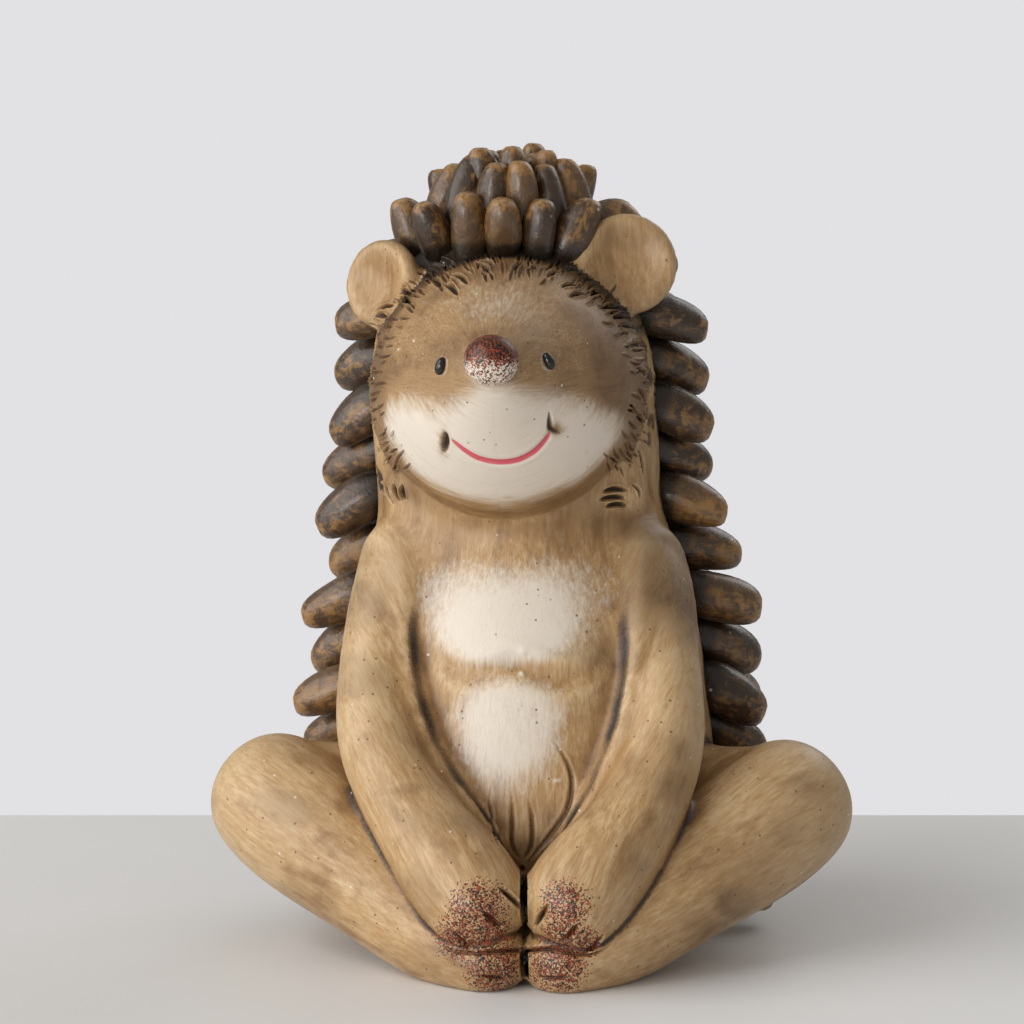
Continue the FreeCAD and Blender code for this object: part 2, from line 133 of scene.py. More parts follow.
# Lines drawn in the clay, in pixels of the photograph, from where each starts to where it ends
MOUTH = (
    (452.7, 440.9), (463, 449.5), (476, 457.5), (490, 461.5), (505, 462.3), (520, 459.6), (534, 452),
    (544, 442), (549.5, 433.5),
)
LEFT_DIMPLE = ((444.5, 431), (445.5, 442), (443.0, 454))
RIGHT_DIMPLE = ((549.8, 411), (550.0, 424), (552, 430), (562, 434))
NOSE_CREASE = ((471.7, 386), (482, 392), (494, 394), (505, 391), (514, 384))
CHEST_FOLD = (
    (437, 652), (450, 667), (470, 674), (495, 672), (515, 667), (540, 675), (567.9, 679), (592, 670),
    (606, 655),
)
BELLY_GROOVES = (
    ((489, 798), (493, 820), (497, 842), (512, 858)),
    ((512, 792), (512, 822), (513, 846), (520, 860)),
    ((529, 800), (532, 824), (531, 846), (524, 860)),
    ((553, 740), (567, 762), (572, 785), (566, 812), (548, 838), (530, 860)),
)
HAND_LINE = ((521.9, 868), (524, 885), (524, 905), (526, 929.5))
FOOT_LINE = ((524, 949), (525, 968), (526, 986))
FINGER_SLITS = (
    ((499, 887), (510, 896), (522, 908.5)), ((484, 912), (492, 920), (502, 927)),
    ((455, 934), (462, 941), (469, 948)), ((534, 927), (540, 917), (547, 905)),
    ((560, 943), (570, 935), (578, 924)), ((586, 952), (596, 944), (604, 934)),
)
TOE_CREASES = (
    (
        (440, 944), (455, 952), (475, 953), (500, 951), (524, 950), (555, 949), (580, 955), (600, 952),
        (612, 944),
    ),
    ((480, 976), (493, 978), (506, 979)), ((541, 977.5), (555, 979), (568, 977)),
)
# Width, depth, lip (in mm) and darkness of each kind of line, and whether it thins out like a leaf
LEFT_DIMPLE_CUT = 0.7, 0.9, 0.08, 0.95, True
RIGHT_DIMPLE_CUT = 0.5, 0.7, 0.06, 0.95, True
NOSE_CUT = 0.7, 0.25, 0.0, 0.0, True
CHEST_CUT = 2.2, 0.9, 0.3, 0.12, True
HAND_CUT = 0.5, 1.2, 0.1, 1.0, False
FOOT_CUT = 0.6, 1.2, 0.1, 1.0, False
GROOVE_CUT = 0.45, 0.55, 0.16, 0.6, True
FINGER_CUT = 0.48, 1.1, 0.2, 1.0, True
TOE_CUT = 0.42, 0.8, 0.08, 0.85, True
FUR_CUT = 0.44, 0.75, 0.36, 1.0, True
STROKE_WIDTH, STROKE_DEPTH, STROKE_LIP, STROKE_DARK = 0.26, 0.45, 0.24, 0.75
# How sharply the ends of a cut thin out, and how many of its widths it reaches to each side
LEAF_SHARE, EVEN_SHARE = 0.6, 0.15
CUT_SPREAD = 3.5
MOUTH_WIDTH, MOUTH_DEPTH, MOUTH_LIP = 0.72, 0.32, 0.06

# Small blobs of slip: their places in the picture, their height and radius in mm, and the spread of
# their white in square pixels
WHITE_BEADS = ((523.5, 652), (521.8, 674), (556.5, 780.6))
BEAD_HEIGHT, BEAD_RADIUS = 0.5, 0.45
BEAD_PAINT = 7.0

# What is painted, in pixels of the photograph: middles with half widths and half heights, or with radii
HAND_SPECKS = (
    (478, 910, 26), (460, 936, 22), (490, 934, 20), (565, 905, 22), (562, 932, 18), (585, 942, 14),
    (494.5, 966, 26), (557.5, 966, 26),
)
CHEST_PATCH = (512, 616, 84, 47)
BELLY_PATCH = (508, 732, 63, 62)
FOREHEAD_PATCH = (500, 305, 60, 26)
NOSE_PEAK = (492, 26, 16)
SMUDGES = ((444, 443, 6, 13), (556, 429, 9, 7))
# The white of the face: its upper edge, how that sags to the sides, and where the white ends below
FACE_WHITE_TOP, FACE_WHITE_MIDDLE, FACE_WHITE_SAG, FACE_WHITE_SOFT = 400.0, 500, 0.0011, 26
FACE_WHITE_END = 508, 541
# The stain, and the painted shade on the right: from where to where each gets weaker or stronger, across or
# down the picture
BROW_STAIN = 385, 425
TEMPLE_STAIN_SHADE_ACROSS, TEMPLE_STAIN_SHADE_DOWN = (550, 625), (385, 480)
SHOULDER_STAIN_SHADE_ACROSS, SHOULDER_STAIN_SHADE_TOP, SHOULDER_STAIN_SHADE_END = (600, 660), (500, 530), (590, 660)
RIGHT_SHADE_ACROSS, RIGHT_SHADE_DOWN = (550, 650), (520, 600)
# Painted shade among the spines, in mm: how near to a spine, and how far back and up the clay gets dark
SPINE_SHADE_REACH = (0.6, 3.2)
SPINES_FRONT, SPINES_LOW, SPINES_HIGH = -12.0, 8.0, 118.0
CROWN_SHADE_BACK, CROWN_SHADE_UP = (-12, -2), (112, 120)

# Fur round the face, in the picture: cuts placed one by one, and rings of strokes as share and count
FACE_MIDDLE = (507, 388)
FACE_RADII = (141, 124)
FUR_CUTS = (
    ((430, 259), (443, 261), (455, 266)), ((418, 273), (425, 275), (431, 278)),
    ((431, 278), (437, 282), (441, 288)), ((451, 274), (460, 277), (468, 284)),
    ((446, 284), (452, 288), (458, 295)), ((399, 299), (405, 300), (411, 303)),
    ((375, 315), (381, 315), (388, 318)), ((376, 310), (385, 307), (394, 305)),
    ((399, 291), (405, 292), (411, 294)), ((476, 261), (485, 262), (494, 265)),
    ((483, 266), (486, 269), (488, 273)), ((514, 271), (517, 266), (523, 262)),
    ((529, 271), (535, 268), (541, 267)), ((547, 277), (554, 273), (561, 272)),
    ((561, 287), (569, 285), (578, 286)), ((565, 271), (573, 270), (582, 272)),
    ((569, 297), (577, 294), (586, 294)), ((590, 295), (597, 293), (604, 294)),
    ((583, 281), (590, 279), (597, 281)), ((599, 308), (612, 307), (625, 310)),
    ((618, 325), (630, 327), (641, 333)), ((613, 318), (620, 317), (627, 319)),
    ((629, 345), (638, 345), (647, 348)), ((636, 367), (644, 374), (653, 384)),
    ((638, 389), (642, 395), (645, 403)), ((636, 415), (641, 421), (644, 429)),
    ((638, 449), (641, 461), (643, 474)), ((603, 492), (614, 489), (628, 490)),
    ((600, 500), (612, 497), (626, 498)), ((606, 507), (616, 504), (628, 506)),
    ((632, 484), (638, 490), (640, 498)), ((386, 484), (389, 494), (394, 505)),
    ((393, 482), (396, 492), (400, 502)), ((402, 484), (403, 492), (405, 500)),
    ((378, 478), (382, 486), (387, 494)), ((367, 366), (370, 373), (373, 381)),
    ((364, 412), (367, 419), (369, 427)), ((371, 444), (372, 450), (374, 457)),
    ((376, 468), (379, 474), (383, 480)), ((362, 392), (365, 398), (366, 405)),
)
FRINGE_RINGS = ((0.88, 70), (0.93, 84), (0.98, 90), (1.03, 80))
FRINGE_GAP = 48
FRINGE_SWIRL = 0.45
STROKE_LENGTHS = 7, 15
LEFT_OUT_SHARE = 0.15
FUR_TUFTS = ((397, 490, 13), (630, 495, 15))
TUFT_HEIGHT = 1.6

# Rim between body and head: least number of its edges, and how far it may lie from the neck, in mm
NECK_RIM_EDGES = 60
NECK_REACH = 3.0
# How far the wall behind a piece's rim goes into the clay, in mm
RIM_DEPTH = 2.2
EAR_RIM_DEPTH = 1.0

# Spines: the middle that they point away from, how deep they sit and how plump they are, in mm and shares
CORE_X, CORE_Y, SKULL_CENTRE = -3.0, 8.0, 105.0
ROOT_DEPTH = 2.0
PELLET_WIDTH_SHARE = 1.06
PELLET_HEIGHT_SHARE = 1.16
PELLET_FATNESS = (0.94, 1.05)
PELLET_LEAN = 0.6
CROWN_LOW, CROWN_HIGH, CROWN_FADE, CROWN_SQUEEZE = 136.0, 149.0, 8.0, 0.34
SIDE_LOW, SIDE_HIGH, SIDE_SQUEEZE = 84.0, 132.0, 0.08
SIDE_FADE_LOW, SIDE_FADE_HIGH = 16.0, 12.0
PELLET_SIDES = 18
PELLET_RINGS = 14
SPINE_BEND = 0.1
SPINE_SEED = 100

# Glazed balls: rounds of division, stretch across, in depth and in height, and tilt in degrees
BALL_ROUNDS = 5
NOSE_STRETCH = (1.02, 0.95, 0.96)
EYE_STRETCH = (0.62, 0.6, 1.05)
LEFT_EYE_TILT, RIGHT_EYE_TILT = 18, -24


def linear(red, green, blue):
    """A colour read as a screen's 8-bit values, turned to linear light."""
    out = []
    for value in (red, green, blue):
        share = value / 255
        out.append(share / 12.92 if share <= 0.04045 else ((share + 0.055) / 1.055) ** 2.4)
    return (*out, 1.0)


def smooth_step(low, high, value):
    """0 below low, 1 above high, and smooth between."""
    share = np.clip((value - low) / (high - low), 0.0, 1.0)
    return share * share * (3 - 2 * share)


def read(items, name, width=3, kind=float):
    """One property of many items of a mesh, as an array."""
    values = np.zeros(len(items) * width, dtype=kind)
    items.foreach_get(name, values)
    return values.reshape(-1, width)


def node_points(name):
    """Vertices (in mm) and triangles of a CAD node."""
    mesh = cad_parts[name].data
    mesh.calc_loop_triangles()
    return read(mesh.vertices, "co") / MM, read(mesh.loop_triangles, "vertices", kind=np.int32)


def node_middle(name):
    """Middle of a CAD node's box, in mm."""
    low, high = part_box(name)
    return np.array(low + high) / 2 / MM


def link(obj):
    bpy.context.scene.collection.objects.link(obj)


def mesh_object(name, points, faces):
    """A new object from points in mm."""
    mesh = bpy.data.meshes.new(name)
    mesh.from_pydata((np.asarray(points) * MM).tolist(), [], [list(map(int, f)) for f in faces])
    mesh.update()
    obj = bpy.data.objects.new(name, mesh)
    link(obj)
    return obj


def mesh_normals(mesh):
    return read(mesh.vertex_normals, "vector", kind=np.float32).astype(float)


def smooth_faces(mesh):
    for polygon in mesh.polygons:
        polygon.use_smooth = True


def camera_axes():
    """The photograph's camera: which way lies to its right, and which way it looks."""
    azimuth, elevation = math.radians(CAMERA_AZIMUTH), math.radians(CAMERA_ELEVATION)
    level = math.cos(elevation)
    return (math.cos(azimuth), math.sin(azimuth), 0), (
        -math.sin(azimuth) * level, math.cos(azimuth) * level, -math.sin(elevation))


def picture_ray(x, y):
    """Where the camera's ray through a pixel starts, in mm, and its direction."""
    right, forward = map(Vector, camera_axes())
    up = right.cross(forward)
    start = Vector(CAMERA_TARGET) - forward * CAMERA_DISTANCE
    way = forward + right * ((x - CAMERA_CENTRE[0]) / FOCAL) - up * ((y - CAMERA_CENTRE[1]) / FOCAL)
    return start, way.normalized()


def picture_places(points):
    """The pixel that shows each point."""
    right, forward = map(np.array, camera_axes())
    up = np.cross(right, forward)
    away = points - (np.array(CAMERA_TARGET) - forward * CAMERA_DISTANCE)
    depth = away @ forward
    return CAMERA_CENTRE[0] + FOCAL * (away @ right) / depth, CAMERA_CENTRE[1] - FOCAL * (away @ up) / depth


def look_at_camera():
    """The photograph's camera."""
    right, forward = map(Vector, camera_axes())
    place = (Vector(CAMERA_TARGET) - forward * CAMERA_DISTANCE) * MM
    data = bpy.data.cameras.new("camera")
    data.lens = CAMERA_LENS
    data.sensor_width = CAMERA_SENSOR
    data.shift_x = (PICTURE / 2 - CAMERA_CENTRE[0]) / PICTURE
    data.shift_y = (CAMERA_CENTRE[1] - PICTURE / 2) / PICTURE
    camera = bpy.data.objects.new("camera", data)
    turn = Matrix((right, right.cross(forward), -forward)).transposed()
    camera.matrix_world = Matrix.Translation(place) @ turn.to_4x4()
    link(camera)
    bpy.context.scene.camera = camera


def curve(line, steps=5):
    """A smooth line of pixels through a few of them."""
    if len(line) < 3:
        return line
    ends = [np.array(place, dtype=float) for place in (line[0], *line, line[-1])]
    out = []
    for a, b, c, d in zip(ends, ends[1:], ends[2:], ends[3:]):
        for k in range(steps):
            t = k / steps
            out.append(0.5 * (2 * b + (c - a) * t + (2 * a - 5 * b + 4 * c - d) * t ** 2
                              + (3 * b - a - 3 * c + d) * t ** 3))
    out.append(ends[-1])
    return out


def line_distance(points, line):
    """Each point's distance to a line of several places, and the share of the line at which it is nearest."""
    best = np.full(len(points), np.inf)
    where = np.zeros(len(points))
    for k, (a, b) in enumerate(zip(line, line[1:])):
        way = b - a
        share = np.clip((points - a) @ way / max(way @ way, 1e-9), 0, 1)
        away = np.linalg.norm(points - a - share[:, None] * way, axis=1)
        nearer = away < best
        best[nearer] = away[nearer]
        where[nearer] = (k + share[nearer]) / (len(line) - 1)
    return best, where


def ball_mesh(rounds):
    """Corners and triangles of a ball."""
    bm = bmesh.new()
    bmesh.ops.create_icosphere(bm, subdivisions=rounds, radius=1.0)
    bm.verts.index_update()
    corners = np.array([vert.co for vert in bm.verts])
    faces = np.array([[vert.index for vert in face.verts] for face in bm.faces])
    bm.free()
    return corners, faces


class Skin:
    """The clay body as one mesh, with the steps that work it over."""

    def __init__(self, obj):
        self.obj = obj
        self.read()

    def read(self):
        mesh = self.obj.data
        self.points = read(mesh.vertices, "co") / MM
        self.normals = mesh_normals(mesh)
        self.edges = read(mesh.edges, "vertices", 2, np.int32)
        count = np.bincount(self.edges.ravel(), minlength=len(self.points))
        self.degree = np.maximum(count, 1).astype(float)

    def write(self):
        self.obj.data.vertices.foreach_set("co", (self.points * MM).ravel())
        self.obj.data.update()
        self.normals = mesh_normals(self.obj.data)

    def mean(self, values):
        """Mean of each vertex's neighbours."""
        total = np.zeros_like(values)
        first, second = self.edges[:, 0], self.edges[:, 1]
        for axis in range(values.shape[1]):
            total[:, axis] = np.bincount(first, values[second, axis], len(values))
            total[:, axis] += np.bincount(second, values[first, axis], len(values))
        return total / self.degree[:, None]

    def blur(self, values, rounds):
        out = values[:, None].astype(float)
        for _ in range(rounds):
            out = 0.4 * out + 0.6 * self.mean(out)
        return out[:, 0]

    def relax(self, weight, rounds):
        for _ in range(rounds):
            self.points += (self.mean(self.points) - self.points) * weight[:, None]
        self.write()

    def fill(self, weight, rounds):
        """Lets the surface only come out, so that creases fill up as when they are smeared with slip."""
        for k in range(rounds):
            move = (self.mean(self.points) - self.points) * weight[:, None]
            out = np.einsum("ij,ij->i", move, self.normals)
            self.points += self.normals * np.maximum(out, 0)[:, None]
            if (k + 1) % FILL_ROUNDS == 0:
                self.write()
        self.write()

    def hollowness(self):
        """How far each vertex lies below its neighbours, along its normal."""
        return np.einsum("ij,ij->i", self.mean(self.points) - self.points, self.normals)

    def tree(self):
        polygons = [tuple(p.vertices) for p in self.obj.data.polygons]
        return BVHTree.FromPolygons(self.points.tolist(), polygons)

    def drop(self, tree, pixels, step=2.5):
        """Places on the skin along a line of pixels."""
        out = []
        for (x0, y0), (x1, y1) in zip(pixels, pixels[1:]):
            count = max(1, int(math.hypot(x1 - x0, y1 - y0) / step))
            for k in range(count + 1):
                start, way = picture_ray(x0 + (x1 - x0) * k / count, y0 + (y1 - y0) * k / count)
                hit = tree.ray_cast(start, way)[0]
                if hit:
                    out.append(np.array(hit))
        return np.array(out)

    def carve(self, line, width, depth, lip, leaf=False):
        """Presses a groove along a line, with a raised lip beside it, and returns its strength."""
        low, high = line.min(0) - CUT_SPREAD * width, line.max(0) + CUT_SPREAD * width
        index = np.where(np.all((self.points > low) & (self.points < high), axis=1))[0]
        away, share = line_distance(self.points[index], line)
        body = np.sin(np.pi * np.clip(share, 0.01, 0.99)) ** (LEAF_SHARE if leaf else EVEN_SHARE)
        wide = width * (0.4 + 0.6 * body)
        groove = np.exp(-(away / wide) ** 2) * body
        ridge = np.exp(-((away - 1.8 * wide) / (0.6 * wide)) ** 2) * body
        self.points[index] += self.normals[index] * (lip * ridge - depth * groove)[:, None]
        strength = np.zeros(len(self.points))
        strength[index] = groove
        return strength

    def breadth(self, rounds):
        """How far each vertex stands out of its wider surroundings: positive where it is raised, in mm."""
        spread = self.points.copy()
        for _ in range(rounds):
            spread = 0.3 * spread + 0.7 * self.mean(spread)
        return np.einsum("ij,ij->i", self.points - spread, self.normals)


def slip_balls():
    """Small balls of slip in the narrow gap between each arm and the body, so that no pits are left."""
    body_points, body_faces = node_points("torso_shell")
    body = BVHTree.FromPolygons(body_points.tolist(), body_faces.tolist())
    balls = {}
    for name in ARMS:
        points, tris = node_points(name)
        spots = [np.tensordot(shares, points[tris], axes=(0, 1)) for shares in SPOT_SHARES]
        for place in np.vstack((points, *spots)):
            near, _, _, gap = body.find_nearest(place)
            if near is not None and gap < SLIP_GAP:
                middle = (place + np.array(near)) / 2
                key = tuple(np.round(middle / SLIP_STEP).astype(int))
                balls.setdefault(key, (middle, SLIP_RADIUS + gap / 2))
    return balls.values()


def clay_surface():
    """Points and triangles of all clay nodes, and the number of the node that each triangle is on."""
    points, faces, owners, start = [], [], [], 0
    for number, name in enumerate(CLAY_NODES):
        p, t = node_points(name)
        points.append(p)
        faces.append(t + start)
        owners += [number] * len(t)
        start += len(p)
    return np.vstack(points), np.vstack(faces), np.array(owners)


def join_clay():
    """One mesh of all clay nodes, so that their joints can be smeared over like wet clay."""
    points, faces, _ = clay_surface()
    corners, triangles = ball_mesh(1)
    balls = slip_balls()
    ball_points = [corners * radius + centre for centre, radius in balls]
    ball_faces = [triangles + len(points) + k * len(corners) for k in range(len(balls))]
    obj = mesh_object("clay_body", np.vstack((points, *ball_points)), np.vstack((faces, *ball_faces)))
    remesh = obj.modifiers.new("remesh", "REMESH")
    remesh.mode = "VOXEL"
    remesh.voxel_size = VOXEL * MM
    depsgraph = bpy.context.evaluated_depsgraph_get()
    mesh = bpy.data.meshes.new_from_object(obj.evaluated_get(depsgraph))
    obj.modifiers.clear()
    obj.data = mesh
    return obj


def refine(obj, keep):
    """Divides the edges that keep() picks, for the places where fine carving goes."""
    bm = bmesh.new()
    bm.from_mesh(obj.data)
    bm.verts.ensure_lookup_table()
    places = np.array([v.co for v in bm.verts]) / MM
    picked = keep(places)
    edges = [edge for edge in bm.edges if picked[edge.verts[0].index] and picked[edge.verts[1].index]]
    bmesh.ops.subdivide_edges(bm, edges=edges, cuts=1, use_grid_fill=True)
    bmesh.ops.triangulate(bm, faces=[face for face in bm.faces if len(face.verts) > 4])
    bm.to_mesh(obj.data)
    bm.free()


def label_points(points):
    """The clay node that lies nearest to each point, as a number."""
    clay_points, faces, owners = clay_surface()
    tree = BVHTree.FromPolygons(clay_points.tolist(), faces.tolist())
    return owners[[tree.find_nearest(point)[2] for point in points.tolist()]]


def face_labels(mesh, labels):
    """The clay node of each face, with single stray faces given to their neighbours."""
    corners = [np.array(p.vertices) for p in mesh.polygons]
    votes = np.array([np.bincount(labels[c]).argmax() for c in corners])
    edge_faces = {}
    for number, polygon in enumerate(mesh.polygons):
        for key in polygon.edge_keys:
            edge_faces.setdefault(key, []).append(number)
    pairs = np.array([faces for faces in edge_faces.values() if len(faces) == 2])
    for _ in range(4):
        count = np.zeros((len(votes), len(CLAY_NODES)))
        np.add.at(count, (pairs[:, 0], votes[pairs[:, 1]]), 1)
        np.add.at(count, (pairs[:, 1], votes[pairs[:, 0]]), 1)
        count[np.arange(len(votes)), votes] += 0.5
        votes = count.argmax(1)
    return votes


def rim_loops(bm):
    """The open rims of a mesh, each as its edges, always in the same order."""
    left = dict.fromkeys(edge for edge in bm.edges if edge.is_boundary)
    loops = []
    while left:
        start, _ = left.popitem()
        loop, heap = [start], [start]
        while heap:
            edge = heap.pop()
            for vert in edge.verts:
                for other in vert.link_edges:
                    if other in left:
                        del left[other]
                        loop.append(other)
                        heap.append(other)
        loops.append(loop)
    return loops


def close_rims(bm, depth):
    """Closes each open rim with a wall straight into the clay and a fan behind it, so that none shows."""
    layer = bm.verts.layers.float_vector["skin_normal"]
    for loop in rim_loops(bm):
        rim = dict.fromkeys(vert for edge in loop for vert in edge.verts)
        deep = {vert: bm.verts.new(vert.co - vert[layer] * depth * MM, vert) for vert in rim}
        apex = bm.verts.new(np.mean([vert.co for vert in deep.values()], axis=0))
        for edge in loop:
            face = edge.link_faces[0]
            first, second = edge.verts
            for corner in face.loops:
                if corner.vert == first and corner.link_loop_next.vert == second:
                    first, second = second, first
                    break
            bm.faces.new((first, second, deep[second], deep[first]))
            bm.faces.new((deep[first], deep[second], apex))


def part_skin(skin, labels):
    """One closed object for each clay node, cut from the common skin along the joints."""
    mesh = skin.obj.data
    votes = face_labels(mesh, labels)
    for number, name in enumerate(CLAY_NODES):
        obj = skin.obj.copy()
        obj.data = mesh.copy()
        obj.name = name + "_clay"
        obj.data.name = obj.name
        bm = bmesh.new()
        bm.from_mesh(obj.data)
        layer = bm.verts.layers.float_vector.new("skin_normal")
        for vert in bm.verts:
            vert[layer] = vert.normal
        bm.faces.ensure_lookup_table()
        others = [face for face, vote in zip(bm.faces, votes) if vote != number]
        bmesh.ops.delete(bm, geom=others, context="FACES")
        join_neck(bm, name)
        close_rims(bm, EAR_RIM_DEPTH if name.endswith("_ear") else RIM_DEPTH)
        bm.to_mesh(obj.data)
        bm.free()
        kept = obj.data.attributes["skin_normal"]
        obj.data.normals_split_custom_set_from_vertices(read(kept.data, "vector", kind=np.float32).tolist())
        obj.data.attributes.remove(kept)
        link(obj)
        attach(obj, "root")
        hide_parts(name)
    bpy.data.objects.remove(skin.obj)


def join_neck(bm, name):
    """The rim where pot and head meet is a ring between the outside and the hollow."""
    if name not in ("torso_shell", "head_shell"):
        return
    loops = [loop for loop in rim_loops(bm) if len(loop) > NECK_RIM_EDGES]
    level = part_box("torso_shell")[1][2]
    near = [loop for loop in loops
            if all(abs(vert.co.z - level) < NECK_REACH * MM for edge in loop for vert in edge.verts)]
    if len(near) == 2:
        bmesh.ops.bridge_loops(bm, edges=near[0] + near[1])


def wobble(points, size, seed):
    """A smooth irregular value between about -1 and 1."""
    rng = np.random.default_rng(seed)
    total = np.zeros(len(points))
    for _ in range(6):
        way = rng.normal(size=3)
        way /= np.linalg.norm(way)
        total += np.sin(points @ way / size * rng.uniform(0.6, 1.6) + rng.uniform(0, 6.3))
    return total / 3.2


def seam_marks(skin, labels, pairs):
    """1 on the joint between two clay nodes, 0 elsewhere."""
    first, second = labels[skin.edges[:, 0]], labels[skin.edges[:, 1]]
    mark = np.zeros(len(skin.points))
    for names in pairs:
        a, b = map(CLAY_NODES.index, names)
        hit = ((first == a) & (second == b)) | ((first == b) & (second == a))
        mark[skin.edges[hit].ravel()] = 1
    return mark


def fade(skin, mark, rounds, gain):
    """A mark on the skin, spread out so that it fades away from where it was."""
    spread = skin.blur(mark, rounds)
    return np.clip(spread / max(spread.max(), 1e-9) * gain, 0, 1)


def smear_joints(skin, labels):
    """Smears slip over the joints, as a potter does: most at the shoulders, hardly at the creases."""
    high = smooth_step(SHOULDER_LOW, SHOULDER_HIGH, skin.points[:, 2])
    for pairs, spread, where, strength, rounds in (
        (SHOULDER_PAIRS, 60, high, 0.9, 160), (FACE_PAIRS, 20, 1.0, 0.9, 40),
        (EAR_PAIRS, 8, 1.0, 0.8, 10), (LEG_PAIRS, 8, 1.0, 0.6, 8),
    ):
        joint = fade(skin, seam_marks(skin, labels, pairs), spread, SEAM_GAIN)
        skin.fill(joint * where * strength, rounds)
    skin.relax(np.full(len(skin.points), 0.5), 3)


def press_creases(skin, labels):
    """Deepens the joints that stay open, such as the armpits. Returns how dark each place gets: stain and
    painted shade in the crease.
    """
    low = 1 - smooth_step(CREASE_TOP - CREASE_FADE, CREASE_TOP, skin.points[:, 2])
    mark = seam_marks(skin, labels, CREASE_PAIRS) * low
    near = fade(skin, mark, 5, 1.6)
    skin.relax(np.minimum(near * 1.4, 0.6), 14)
    skin.points -= skin.normals * (CREASE_DEPTH * near)[:, None]
    skin.write()
    skin.relax(near * 0.5, 2)
    return fade(skin, mark, 4, 1.5) * np.clip(0.9 + 0.5 * wobble(skin.points, 1.6, 17), 0.3, 1.0)


class Shade:
    """Wires the nodes of one material."""

    def __init__(self, name):
        self.material = bpy.data.materials.new(name)
        self.material.use_nodes = True
        self.nodes = self.material.node_tree.nodes
        self.links = self.material.node_tree.links
        self.surface = self.nodes["Principled BSDF"]

    def node(self, kind, inputs, **settings):
        made = self.nodes.new(kind)
        for key, value in settings.items():
            setattr(made, key, value)
        for key, value in inputs.items():
            self.put(made.inputs[key], value)
        return made

    def put(self, socket, value):
        if isinstance(value, bpy.types.NodeSocket):
            self.links.new(value, socket)
        else:
            socket.default_value = value

    def place(self):
        """Places on the object, in mm."""
        metres = self.nodes.new("ShaderNodeTexCoord").outputs["Object"]
        scaled = self.node("ShaderNodeVectorMath", {0: metres, "Scale": 1 / MM}, operation="SCALE")
        return scaled.outputs[0]

    def value(self, name, kind="Fac"):
        """An attribute of the mesh."""
        return self.node("ShaderNodeAttribute", {}, attribute_name=name).outputs[kind]

    def noise(self, place, size, detail=4.0, roughness=0.55, distortion=0.0):
        """A cloudy value whose spots are about size mm wide."""
        return self.node("ShaderNodeTexNoise", {
            "Vector": place, "Scale": 1 / size, "Detail": detail, "Roughness": roughness,
            "Distortion": distortion,
        }).outputs["Fac"]

    def cells(self, place, size):
        """Distance to the nearest of scattered places, and a random value for each."""
        made = self.node("ShaderNodeTexVoronoi", {"Vector": place, "Scale": 1 / size, "Randomness": 1.0})
        return made.outputs["Distance"], made.outputs["Color"]

    def step(self, value, low, high, start=0.0, end=1.0):
        """Start below low, end above high, and smooth between."""
        return self.node("ShaderNodeMapRange", {
            "Value": value, "From Min": low, "From Max": high, "To Min": start, "To Max": end,
        }, interpolation_type="SMOOTHSTEP").outputs["Result"]

    def calc(self, operation, first, second):
        return self.node("ShaderNodeMath", {0: first, 1: second}, operation=operation).outputs[0]

    def times(self, first, second):
        return self.calc("MULTIPLY", first, second)

    def total(self, *terms):
        """Sum of several values, some of them given with a share."""
        values = [self.times(*term) if isinstance(term, tuple) else term for term in terms]
        out = values[0]
        for value in values[1:]:
            out = self.calc("ADD", out, value)
        return out

    def swing(self, value, share):
        """A cloudy value turned to one that swings round 0, to the share that is given."""
        return self.times(self.calc("SUBTRACT", value, 0.5), share)

    def channel(self, colour, number):
        return self.node("ShaderNodeSeparateColor", {"Color": colour}).outputs[number]

    def spots(self, place, spacing, radii, kept, number):
        """Scattered round spots with a soft edge, of which those with a high random value are kept."""
        distance, random = self.cells(place, spacing)
        picked = self.step(self.channel(random, number), *kept)
        return self.times(self.step(distance, *radii, 1.0, 0.0), picked)

    def mix(self, share, first, second):
        made = self.nodes.new("ShaderNodeMix")
        made.data_type = "RGBA"
        self.put(made.inputs["Factor"], share)
        self.put(made.inputs[6], linear(*first) if isinstance(first, tuple) else first)
        self.put(made.inputs[7], linear(*second) if isinstance(second, tuple) else second)
        return made.outputs[2]

    def bump(self, height, strength, distance):
        return self.node("ShaderNodeBump", {
            "Height": height, "Strength": strength, "Distance": distance * MM,
        }).outputs["Normal"]

    def finish(self, colour, roughness, normal, **fixed):
        self.put(self.surface.inputs["Base Color"], colour)
        self.put(self.surface.inputs["Roughness"], roughness)
        self.put(self.surface.inputs["Normal"], normal)
        for key, value in fixed.items():
            self.surface.inputs[key.replace("_", " ")].default_value = value
        return self.material


